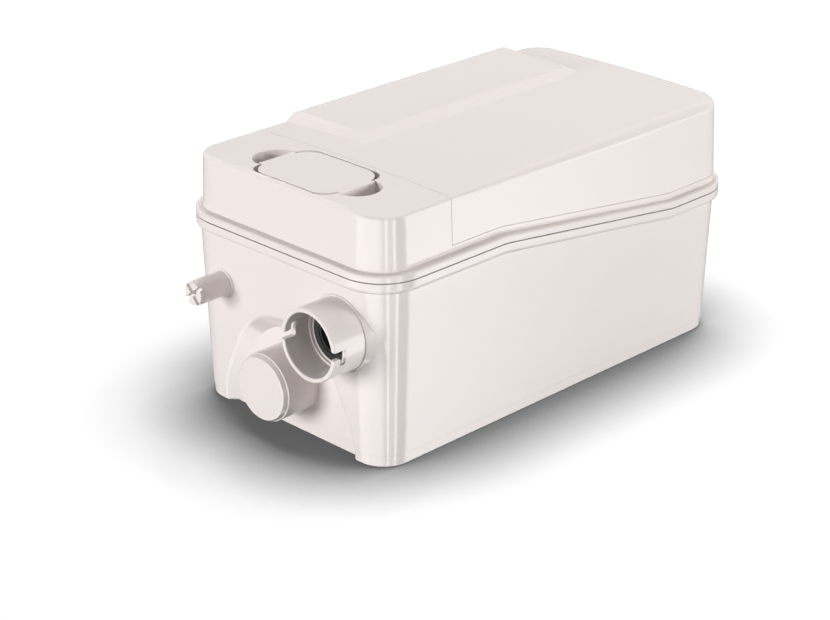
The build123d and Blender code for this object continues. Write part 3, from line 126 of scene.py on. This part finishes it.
def mix_shaders(tree, share, first, second):
    """Mixes two shaders: a share of 0 gives the first, and 1 the second."""
    return add_node(tree, "ShaderNodeMixShader", {0: share, 1: first, 2: second}).outputs[0]


def grey(value):
    """A neutral colour with its alpha."""
    return (value, value, value, 1)


# %% Group helper
def new_group(name, numbers, outputs, colour=None):
    """Starts a node group with named inputs and outputs, and returns it with its two ends."""
    group = bpy.data.node_groups.new(name, "ShaderNodeTree")
    inputs = {label: ("NodeSocketFloat", value) for label, value in numbers.items()}
    if colour is not None:
        inputs = {"Colour": ("NodeSocketColor", colour), **inputs}
    for label, (kind, value) in inputs.items():
        socket = group.interface.new_socket(label, in_out="INPUT", socket_type=kind)
        socket.default_value = value
    for label, kind in outputs.items():
        group.interface.new_socket(label, in_out="OUTPUT", socket_type=kind)
    start = group.nodes.new("NodeGroupInput")
    end = group.nodes.new("NodeGroupOutput")
    return group, start.outputs, end.inputs


# %% [markdown]
# ## Moulded skin
# Real mouldings are never one flat tone. The pigment drifts a little over a hand's width, and the
# tool leaves a grain that is finer than a tenth of a millimetre. Painting that by hand would need
# textures. Noises do it instead: two slow ones for tone and gloss, and a fast one for height. All
# plastics share this group, and each one sets how strong its drift is and how fine its grain.

# %% Moulded skin group
skin, given, gives = new_group(
    "moulded_skin",
    {"Drift": 0.03, "Rough": 0.2, "Rough drift": 0.03, "Grain per metre": 2600.0},
    {"Colour": "NodeSocketColor", "Roughness": "NodeSocketFloat", "Height": "NodeSocketFloat"},
    colour=grey(0.8),
)
place = add_node(skin, "ShaderNodeTexCoord").outputs["Object"]
slow = maths(skin, "SUBTRACT", noise(skin, place, scale=14.0, detail=3.0), 0.5)
tone = maths(skin, "MULTIPLY_ADD", slow, given["Drift"], 1.0)
toned = add_node(
    skin, "ShaderNodeVectorMath", {0: given["Colour"], "Scale": tone}, operation="SCALE"
)
patches = maths(skin, "SUBTRACT", noise(skin, place, scale=45.0, detail=4.0), 0.5)
rough = maths(skin, "MULTIPLY_ADD", patches, given["Rough drift"], given["Rough"])
fine = noise(skin, place, scale=given["Grain per metre"], detail=2.0)
skin.links.new(toned.outputs[0], gives["Colour"])
skin.links.new(rough, gives["Roughness"])
skin.links.new(fine, gives["Height"])
print("skin group has", len(skin.nodes), "nodes")

# %% [markdown]
# ## Softened edges
# A moulded edge is never a knife edge, and it catches a thin line of light. The Bevel node rounds
# the shading of an edge without touching the mesh, which suits a frame whose meshes must stay as
# they are. It goes in front of the Bump node, so that the grain runs on over the rounded edge.

# %% Finish maker
micron = 0.000001
moulded_edge, metal_edge = 0.0003, 0.0002
edge_samples = 6
coat_roughness = 0.06


def new_finish(name):
    """A material with an empty tree but for its Principled shader."""
    material = bpy.data.materials.new(name)
    material.use_nodes = True
    return material, material.node_tree, material.node_tree.nodes["Principled BSDF"]


def give_relief(tree, shader, height, depth, edge):
    """Feeds the shader's normal from a height and a softened edge."""
    rounded = add_node(tree, "ShaderNodeBevel", {"Radius": edge}, samples=edge_samples)
    bump = add_node(
        tree,
        "ShaderNodeBump",
        {"Height": height, "Strength": 1.0, "Distance": depth, "Normal": rounded.outputs[0]},
    )
    tree.links.new(bump.outputs[0], shader.inputs["Normal"])


def moulded(
    name, colour, rough=0.2, drift=0.03, rough_drift=0.03, grain=4 * micron, coat=0.0, pitch=2600.0
):
    """A moulded plastic: skin group, softened edges and, where it shines, a thin coat."""
    material, tree, shader = new_finish(name)
    inputs = {
        "Colour": (*colour, 1),
        "Drift": drift,
        "Rough": rough,
        "Rough drift": rough_drift,
        "Grain per metre": pitch,
    }
    surface = add_node(tree, "ShaderNodeGroup", inputs, node_tree=skin)
    tree.links.new(surface.outputs["Colour"], shader.inputs["Base Color"])
    tree.links.new(surface.outputs["Roughness"], shader.inputs["Roughness"])
    shader.inputs["Coat Weight"].default_value = coat
    shader.inputs["Coat Roughness"].default_value = coat_roughness
    give_relief(tree, shader, surface.outputs["Height"], grain, moulded_edge)
    material.diffuse_color = (*colour, 1)
    return material


def dress(node_name, finish):
    """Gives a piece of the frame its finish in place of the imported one."""
    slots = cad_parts[node_name].data.materials
    slots.clear()
    slots.append(finish)


# %% [markdown]
# ## The off-white housing
# Tank, lid, hood, hatch cover and drain plug are one plastic, a warm off-white with a soft gloss.
# They share one material, so that their joints show as fine gaps and not as steps of colour.

# %% Housing plastic
housing = moulded(
    "housing_off_white", (0.722, 0.664, 0.642), rough=0.1, drift=0.015, rough_drift=0.02
)
for name in ("tank", "lid", "motor_hood", "hatch_cover", "drain_plug"):
    dress(name, housing)
print("housing pieces share", housing.name)

# %% [markdown]
# ## Rubber
# Seals, hoses and sleeves are black rubber. Rubber is rougher than plastic and scatters light at a
# grazing angle, so its edges look a little grey. Sheen on the Principled shader gives that bloom.

# %% Rubbers
bluish = 1.04


def rubber(name, tone, rough=0.55):
    """Black rubber with a grey bloom at grazing angles."""
    colour = (tone, tone, tone * bluish)
    material = moulded(name, colour, rough=rough, drift=0.25, grain=20 * micron, pitch=1400.0)
    shader = material.node_tree.nodes["Principled BSDF"]
    shader.inputs["Sheen Weight"].default_value = 0.15
    shader.inputs["Sheen Roughness"].default_value = 0.5
    return material


seal_rubber = rubber("seal_rubber", 0.022)
hose_rubber = rubber("hose_rubber", 0.03, rough=0.48)
sleeve_rubber = rubber("sleeve_rubber", 0.05, rough=0.6)
foam = rubber("foam_rubber", 0.03, rough=0.85)
print("rubbers:", seal_rubber.name, hose_rubber.name, sleeve_rubber.name, foam.name)

# %% [markdown]
# ## Steel, brass, aluminium and copper
# Metals take their colour from what they mirror. Ground steel has fine scratches that run one way,
# die castings have a sandy skin, and laminations are stacked sheets that show as thin lines. One
# group makes streaks from a noise that is stretched along one axis.

# %% Streak group
streaks, given, gives = new_group(
    "streaks",
    {"Along": 60.0, "Across": 2400.0, "Base": 0.3, "Swing": 0.12},
    {"Roughness": "NodeSocketFloat", "Height": "NodeSocketFloat"},
)
place = add_node(streaks, "ShaderNodeTexCoord").outputs["Object"]
scale = add_node(
    streaks,
    "ShaderNodeCombineXYZ",
    {"X": given["Along"], "Y": given["Along"], "Z": given["Across"]},
)
stretched = add_node(
    streaks, "ShaderNodeVectorMath", {0: place, 1: scale.outputs[0]}, operation="MULTIPLY"
)
lines = noise(streaks, stretched.outputs[0], scale=1.0, detail=3.0)
centred = maths(streaks, "SUBTRACT", lines, 0.5)
rough = maths(streaks, "MULTIPLY_ADD", centred, given["Swing"], given["Base"])
streaks.links.new(rough, gives["Roughness"])
streaks.links.new(lines, gives["Height"])
print("streak group has", len(streaks.nodes), "nodes")


# %% Metals
def metal(name, colour, base=0.3, swing=0.15, along=60.0, across=2400.0, depth=4 * micron):
    """A metal whose gloss and relief run in streaks round or along the vertical."""
    material, tree, shader = new_finish(name)
    inputs = {"Along": along, "Across": across, "Base": base, "Swing": swing}
    surface = add_node(tree, "ShaderNodeGroup", inputs, node_tree=streaks)
    shader.inputs["Base Color"].default_value = (*colour, 1)
    shader.inputs["Metallic"].default_value = 1.0
    tree.links.new(surface.outputs["Roughness"], shader.inputs["Roughness"])
    give_relief(tree, shader, surface.outputs["Height"], depth, metal_edge)
    material.diffuse_color = (*colour, 1)
    return material


screw_steel = metal("screw_steel", (0.62, 0.62, 0.63), base=0.28)
spring_steel = metal("spring_steel", (0.58, 0.58, 0.6), base=0.34, across=900.0)
ground_steel = metal("ground_steel", (0.64, 0.64, 0.65), base=0.22, across=5200.0)
zinc_steel = metal(
    "zinc_plated_steel", (0.56, 0.57, 0.57), base=0.36, swing=0.3, along=90.0, across=140.0
)
sheet_stack = metal(
    "sheet_stack", (0.34, 0.34, 0.36), base=0.45, across=4000.0, depth=60 * micron
)
cast_aluminium = metal(
    "cast_aluminium",
    (0.7, 0.71, 0.72),
    base=0.48,
    along=1500.0,
    across=1500.0,
    depth=20 * micron,
)
brass = metal("brass", (0.72, 0.54, 0.24), base=0.26)
copper = metal(
    "copper_wire", (0.62, 0.3, 0.13), along=2200.0, across=2200.0, depth=100 * micron
)
print("metals that use the streak group:", streaks.users)

# %% [markdown]
# ## Plastics inside
# What can't be seen in use is made in plain technical plastics: black for the pump, grey for the
# valve, light grey for the air bell, green for the board. Glass-filled black has a coarser grain.

# %% Plastics inside
pump_black = moulded(
    "pump_black", (0.03, 0.03, 0.032), rough=0.42, drift=0.2, grain=20 * micron, pitch=1200.0
)
filter_black = moulded(
    "filter_black", (0.024, 0.024, 0.026), rough=0.6, drift=0.3, grain=30 * micron, pitch=900.0
)
valve_grey = moulded("valve_grey", (0.25, 0.26, 0.28), rough=0.38, drift=0.05)
bell_grey = moulded("bell_grey", (0.5, 0.51, 0.53), rough=0.35, drift=0.04)
tube_grey = moulded("tube_grey", (0.52, 0.53, 0.55), rough=0.3, drift=0.04)
impeller_blue = moulded("impeller_blue_grey", (0.07, 0.09, 0.13), rough=0.35, drift=0.1)
relay_blue = moulded("relay_blue", (0.03, 0.09, 0.28), coat=0.3)
bobbin_dark = moulded("bobbin_dark", (0.05, 0.05, 0.055), rough=0.4)
clamp_green = moulded("terminal_green", (0.03, 0.2, 0.09), rough=0.28)
sleeve_grey = moulded("capacitor_sleeve", (0.62, 0.62, 0.6), rough=0.25, coat=0.3)
board_green = moulded("board_green", (0.012, 0.13, 0.045), rough=0.22, coat=0.6)
print("finishes that use the skin group:", skin.users)

# %% Finishes of the inner pieces
pieces_by_finish = (
    (foam, ("rim_gasket", "hatch_seal")),
    (filter_black, ("carbon_filter",)),
    (
        seal_rubber,
        ("outlet_seal", "valve_flap", "drain_plug_o_ring", "shaft_seal", "cable_grommet"),
    ),
    (hose_rubber, ("riser_hose", "sensor_hose")),
    (sleeve_rubber, ("motor_lead", "capacitor_lead")),
    (
        screw_steel,
        (
            "lid_screws",
            "valve_screws",
            "volute_screws",
            "motor_screws",
            "board_screws",
            "valve_hinge_pin",
        ),
    ),
    (spring_steel, ("hose_clamps", "capacitor_clips")),
    (ground_steel, ("shaft", "bearing_lower", "bearing_upper")),
    (zinc_steel, ("motor_can",)),
    (sheet_stack, ("rotor_core", "stator_core")),
    (cast_aluminium, ("lower_end_shield", "upper_end_shield")),
    (copper, ("winding_lower", "winding_upper")),
    (brass, ("impeller_nut",)),
    (pump_black, ("volute", "suction_strainer", "bell_nut", "pressure_sensor")),
    (impeller_blue, ("impeller",)),
    (valve_grey, ("valve_body",)),
    (bell_grey, ("pressure_bell",)),
    (tube_grey, ("drain_dip_tube",)),
    (board_green, ("circuit_board",)),
    (relay_blue, ("relay",)),
    (bobbin_dark, ("transformer",)),
    (clamp_green, ("terminal_block",)),
    (sleeve_grey, ("run_capacitor",)),
)
for finish, names in pieces_by_finish:
    for name in names:
        dress(name, finish)
print("finished", sum(len(names) for _, names in pieces_by_finish), "inner pieces")

# %% [markdown]
# ## Small parts on the board
# The frame's board carries its relay, transformer, sensor and terminal block. A real one also
# carries a chip, two electrolytic capacitors and a row of resistors, and each terminal has a
# slotted screw. They are built here with bmesh in millimetres, and each mesh is scaled to metres
# when it is placed. Each kind is one mesh.

# %% Mesh helpers
mm = 0.001
rod_segments = 32
crease_angle = radians(40)
slot_turn, half_disc_steps = 0.25, 14


def box_in_mm(node_name):
    """The lowest and highest corners of a piece of the frame, in millimetres."""
    return [corner * 1000 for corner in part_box(node_name)]


def add_block(mesh, middle, size):
    """A box round a middle point."""
    place = Matrix.Translation(middle) @ Matrix.Diagonal((*size, 1))
    bmesh.ops.create_cube(mesh, size=1, matrix=place)


def add_rod(mesh, middle, radius, length, turn=None):
    """An upright rod round a middle point, or one turned by a matrix."""
    bmesh.ops.create_cone(
        mesh,
        cap_ends=True,
        segments=rod_segments,
        radius1=radius,
        radius2=radius,
        depth=length,
        matrix=Matrix.Translation(middle) @ (turn or Matrix.Identity(4)),
    )


def add_half_disc(mesh, middle, radius, height, side):
    """Half of a slotted screw head, on one side of its slot."""
    sweep = pi - 2 * slot_turn
    rim = []
    for step in range(half_disc_steps + 1):
        turn = slot_turn + sweep * step / half_disc_steps
        offset = Vector((radius * cos(turn), side * radius * sin(turn), 0))
        rim.append(mesh.verts.new(middle + offset))
    grown = bmesh.ops.extrude_face_region(mesh, geom=[mesh.faces.new(rim)])
    corners = [item for item in grown["geom"] if isinstance(item, bmesh.types.BMVert)]
    bmesh.ops.translate(mesh, vec=(0, 0, height), verts=corners)


def round_edges(mesh, edges, offset, segments):
    """Rounds some edges of a mesh."""
    bmesh.ops.bevel(
        mesh,
        geom=edges,
        offset=offset,
        segments=segments,
        profile=0.5,
        affect="EDGES",
        material=-1,
    )


def place_mesh(name, mesh, finish, body):
    """Turns a mesh in millimetres into an object in metres that rides on a body."""
    bmesh.ops.recalc_face_normals(mesh, faces=mesh.faces)
    bmesh.ops.scale(mesh, vec=(mm, mm, mm), verts=mesh.verts)
    data = bpy.data.meshes.new(name)
    mesh.to_mesh(data)
    mesh.free()
    data.materials.append(finish)
    data.set_sharp_from_angle(angle=crease_angle)
    made = bpy.data.objects.new(name, data)
    scene.collection.objects.link(made)
    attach(made, body)


# %% [markdown]
# ## Chip
# The chip is a black block with eight leads on each long side. Each lead is three small blocks: a
# shoulder out of the body, a drop, and a foot on the board. Blocks are enough at this size.

# %% Chip
row_x = -46
board_top = box_in_mm("circuit_board")[1].z
chip_spot = Vector((row_x, -24, board_top))
chip_size, chip_lift = (6, 10.4, 1.8), 1.2
leads_a_side, lead_pitch, lead_width = 8, 1.27, 0.45
# How far out and up each block of a lead is, its reach and its thickness.
lead_blocks = ((3.4, 0.9, 0.9, 0.25), (3.9, 0.5, 0.25, 1.0), (4.3, 0.12, 1.0, 0.24))

chip, legs = bmesh.new(), bmesh.new()
add_block(chip, chip_spot + Vector((0, 0, chip_lift)), chip_size)
round_edges(chip, chip.edges[:], offset=0.15, segments=2)
for step in range(leads_a_side):
    lead_y = (step - (leads_a_side - 1) / 2) * lead_pitch
    for side in (-1, 1):
        for out, up, reach, thickness in lead_blocks:
            middle = chip_spot + Vector((side * out, lead_y, up))
            add_block(legs, middle, (reach, lead_width, thickness))
place_mesh("board_chip", chip, pump_black, "station")
place_mesh("board_chip_legs", legs, screw_steel, "station")
print("the chip stands at", round(board_top, 1), "mm")

# %% [markdown]
# ## Capacitors
# An electrolytic capacitor is an aluminium can in a dark plastic sleeve, with its bare top inside
# the sleeve's lip. The can is a rod with rounded rims, and the bare top a thin disc on it.

# %% Capacitor cans
can_places = ((-46.5, 4.0, 10.0), (-36.5, 3.2, 8.0))
sleeve_lip, top_thickness = 0.7, 0.06
flat_within = 0.01

cans, can_tops = bmesh.new(), bmesh.new()
for spot_y, radius, height in can_places:
    foot = Vector((row_x, spot_y, board_top))
    add_rod(cans, foot + Vector((0, 0, height / 2)), radius, height)
    top = foot + Vector((0, 0, height + top_thickness / 2))
    add_rod(can_tops, top, radius - sleeve_lip, top_thickness)
rims = [
    edge for edge in cans.edges if abs(edge.verts[0].co.z - edge.verts[1].co.z) < flat_within
]
round_edges(cans, rims, offset=0.4, segments=3)
can_blue = moulded("can_sleeve", (0.012, 0.02, 0.05), rough=0.25, coat=0.3)
place_mesh("board_cans", cans, can_blue, "station")
place_mesh("board_can_tops", can_tops, zinc_steel, "station")
print("capacitors:", len(can_places))

# %% [markdown]
# ## Resistors
# Four wire-ended resistors lie in a row. Each is a rod with a thicker collar at both ends, and its
# wires run out, turn down and end in a flat drop of solder. A curve with a bevel would round the
# bend of a wire, but that is too small to see, so rods that meet make the whole of it.

# %% Resistors
resistor_rows = (-12.5, -8.5, -4.5, -0.5)
lying = Matrix.Rotation(pi / 2, 4, "Y")
axis_height = 1.4
core_radius, core_length = 0.95, 4.2
collar_radius, collar_length, collar_out = 1.15, 1.5, 2.3
wire_radius, wire_length, wire_out = 0.28, 2.4, 4.1
drop_length, drop_out = 1.5, 5.2
solder_radius, solder_height = 0.8, 0.2

resistors, wires = bmesh.new(), bmesh.new()
for spot_y in resistor_rows:
    core = Vector((row_x, spot_y, board_top + axis_height))
    add_rod(resistors, core, core_radius, core_length, lying)
    for side in (-1, 1):
        collar = core + Vector((side * collar_out, 0, 0))
        add_rod(resistors, collar, collar_radius, collar_length, lying)
        wire = core + Vector((side * wire_out, 0, 0))
        add_rod(wires, wire, wire_radius, wire_length, lying)
        foot = Vector((row_x + side * drop_out, spot_y, board_top))
        add_rod(wires, foot + Vector((0, 0, drop_length / 2)), wire_radius, drop_length)
        add_rod(wires, foot + Vector((0, 0, solder_height / 2)), solder_radius, solder_height)
resistor_tan = moulded("resistor_tan", (0.5, 0.33, 0.17), rough=0.3, drift=0.12)
place_mesh("board_resistors", resistors, resistor_tan, "station")
place_mesh("board_resistor_wires", wires, screw_steel, "station")
print("resistors:", len(resistor_rows))

# %% [markdown]
# ## Terminal screws
# Each way of the terminal block is closed by a slotted screw, sunk in a round well. A head is a
# low disc with two half discs on it, and the slot is what stays open between them.

# %% Terminal screws
ways = 6
well_depth, disc_height, half_height = 2.9, 1.0, 0.8
low, high = box_in_mm("terminal_block")
pitch = (high.y - low.y) / ways
head_radius = pitch / 4 - 0.12
screw_x = (low.x + high.x) / 2 + (high.x - low.x) / 5

heads = bmesh.new()
for way in range(ways):
    seat = Vector((screw_x, low.y + (way + 0.5) * pitch, high.z - well_depth))
    add_rod(heads, seat + Vector((0, 0, disc_height / 2)), head_radius, disc_height)
    for side in (-1, 1):
        add_half_disc(heads, seat + Vector((0, 0, disc_height)), head_radius, half_height, side)
place_mesh("terminal_screw_heads", heads, screw_steel, "station")
print("terminal screws:", ways)

# %% [markdown]
# ## Floor
# The photograph shows a white ground with a deep soft shadow. A floor that is lit until it is
# white would throw so much light back that the undersides would glow. So this floor is dark grey
# to all rays but the camera's, which see it glow white. The glow fades where the box stands in the
# way. Two Ambient Occlusion nodes measure that. One looks straight up and darkens the floor close
# to the box. The other leans towards the rear and the near side, so the shadow reaches out from
# the port end.

# %% Floor plane
floor_reach, floor_drop = 6.0, 0.0001
mesh = bmesh.new()
bmesh.ops.create_grid(mesh, x_segments=1, y_segments=1, size=floor_reach)
floor_mesh = bpy.data.meshes.new("floor")
mesh.to_mesh(floor_mesh)
mesh.free()
floor = bpy.data.objects.new("floor", floor_mesh)
floor.location.z = -floor_drop
scene.collection.objects.link(floor)
floor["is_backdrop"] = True
floor.visible_glossy = False
print("the floor reaches", floor_reach, "m each way")

# %% Floor glow
shadow_samples = 24
near_distance, far_distance = 0.08, 0.11
lean_towards = (0.75, -0.35, 0.55)
floor_grey = 0.3

material, tree, shader = new_finish("pale_floor")
tree.nodes.remove(shader)
lean = add_node(tree, "ShaderNodeVectorMath", {0: lean_towards}, operation="NORMALIZE")
near_box = add_node(
    tree, "ShaderNodeAmbientOcclusion", {"Distance": near_distance}, samples=shadow_samples
)
off_box = add_node(
    tree,
    "ShaderNodeAmbientOcclusion",
    {"Distance": far_distance, "Normal": lean.outputs[0]},
    samples=shadow_samples,
)
# Painted shadow: both AO readings darken the floor's camera glow round the box.
core = map_range(tree, near_box.outputs["AO"], 0.49, 0.94, first=0.2, last=1.0)
reach = map_range(tree, off_box.outputs["AO"], 0.0, 0.9, first=0.35, last=1.03)
painted_floor_shadow = maths(tree, "MULTIPLY", core, reach)
# The glow's strength carries the painted shadow, so the floor shows it without any lamp.
glow = add_node(tree, "ShaderNodeEmission", {"Color": grey(1), "Strength": painted_floor_shadow})
paint = add_node(tree, "ShaderNodeBsdfDiffuse", {"Color": grey(floor_grey)})
path = add_node(tree, "ShaderNodeLightPath")
seen = mix_shaders(tree, path.outputs["Is Camera Ray"], paint.outputs[0], glow.outputs[0])
tree.links.new(seen, tree.nodes["Material Output"].inputs["Surface"])
floor.data.materials.append(material)
print("floor finish has", len(tree.nodes), "nodes")

# %% [markdown]
# ## Studio
# Tall soft panels stood left and right of the box, with darkness and two narrow strips of light
# between them, which draw two thin bright lines down the near corner. The world holds that picture
# for glossy rays alone, made from the ray's direction: a ramp round the horizon for rays that
# point down, as off the upright walls, and an even level for rays that point up. The camera sees
# white.

# %% Direction of a ray
world = bpy.data.worlds.new("studio")
scene.world = world
world.use_nodes = True
tree = world.node_tree
tree.nodes.clear()
direction = add_node(tree, "ShaderNodeTexCoord").outputs["Generated"]
parts = add_node(tree, "ShaderNodeSeparateXYZ", {0: direction})
back = maths(tree, "MULTIPLY", parts.outputs["Y"], -1.0)
left = maths(tree, "MULTIPLY", parts.outputs["X"], -1.0)
bearing = maths(tree, "ARCTAN2", back, left)
print("nodes that work out a ray's bearing:", len(tree.nodes))

# %% Ring of panels
# Each stop is a bearing in degrees and the light's level there.
brightest = 6.0
stops = (
    (-180, 0.3), (-50, 0.4), (-42, 0.8), (-36, 2.4), (-12, 3.5), (15, 4.6), (34, 4.7),
    (41, 3.8), (48, 1.7), (55, 1.2), (56, 6.0), (62.5, 6.0), (63.5, 1.7), (81, 1.7),
    (82.5, 6.0), (90, 6.0), (91.5, 1.0), (120, 0.6), (126, 4.3), (135, 4.4), (137, 3.8),
    (139, 2.6), (142, 1.2), (180, 0.3),
)
share = map_range(tree, bearing, -pi, pi)
panels = add_node(tree, "ShaderNodeValToRGB", {"Fac": share})
ramp = panels.color_ramp
while len(ramp.elements) < len(stops):
    ramp.elements.new(0.5)
for element, (angle, light) in zip(ramp.elements, stops):
    element.position = (angle + 180) / 360
    element.color = grey(light / brightest)
print("the ring of panels has", len(stops), "stops")


# %% World
def background(colour, strength):
    """One Background shader of the world."""
    inputs = {"Color": colour, "Strength": strength}
    return add_node(tree, "ShaderNodeBackground", inputs).outputs[0]


upward_level, even_level, white_level = 0.4, 0.02, 1.0
points_up = map_range(tree, parts.outputs["Z"], 0.02, 0.12)
path = add_node(tree, "ShaderNodeLightPath")
ring = background(panels.outputs[0], brightest)
mirrored = mix_shaders(tree, points_up, ring, background(grey(1), upward_level))
even = background(grey(1), even_level)
lit = mix_shaders(tree, path.outputs["Is Glossy Ray"], even, mirrored)
clear = maths(
    tree, "MAXIMUM", path.outputs["Is Camera Ray"], path.outputs["Is Transmission Ray"]
)
seen = mix_shaders(tree, clear, lit, background(grey(1), white_level))
add_node(tree, "ShaderNodeOutputWorld", {"Surface": seen})
print("world has", len(tree.nodes), "nodes")

# %% [markdown]
# ## Lamps
# Six square area lamps stand on a sphere round the box, at 2.6 metres. Three low ones light the
# port end, the long side and the rear, and three higher ones light the top. Large lamps give soft
# shadow edges. They are hidden from glossy rays, because the world already draws the panels.

# %% Lamps
lamp_distance = 2.6
box_middle = Vector((0, 0, 0.07))


def soft_lamp(name, bearing, rise, size, power):
    """A square area lamp at a bearing from -X towards -Y, raised by an angle, facing the box."""
    data = bpy.data.lights.new(name, "AREA")
    data.energy = power
    data.size = size
    lamp = bpy.data.objects.new(name, data)
    turn, flat = radians(bearing), cos(radians(rise))
    away = Vector((-cos(turn) * flat, -sin(turn) * flat, sin(radians(rise))))
    lamp.location = box_middle + lamp_distance * away
    lamp.rotation_euler = (box_middle - lamp.location).to_track_quat("-Z", "Y").to_euler()
    lamp.visible_glossy = False
    scene.collection.objects.link(lamp)


soft_lamp("panel_port_end", bearing=-10, rise=10, size=1.1, power=66)
soft_lamp("panel_long_side", bearing=119, rise=10, size=0.9, power=55)
soft_lamp("panel_rear_end", bearing=180, rise=10, size=0.9, power=6)
soft_lamp("panel_far_side", bearing=-115, rise=35, size=1.2, power=36)
soft_lamp("panel_near_side", bearing=60, rise=35, size=1.2, power=11)
soft_lamp("panel_over_rear", bearing=-150, rise=60, size=1.6, power=48)
print("lamps give", sum(lamp.energy for lamp in bpy.data.lights), "W together")

# %% [markdown]
# ## Finish
# Both boxes, the frame's and the visual model's, are compared, and the largest step is printed.
# The visual model has to keep the frame's size.

# %% Sizes and finish
visual_box = [list(corner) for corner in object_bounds()]
steps = [
    abs(cad - visual)
    for cad_corner, visual_corner in zip(cad_box, visual_box)
    for cad, visual in zip(cad_corner, visual_corner)
]
print("largest step out of the frame:", max(steps))
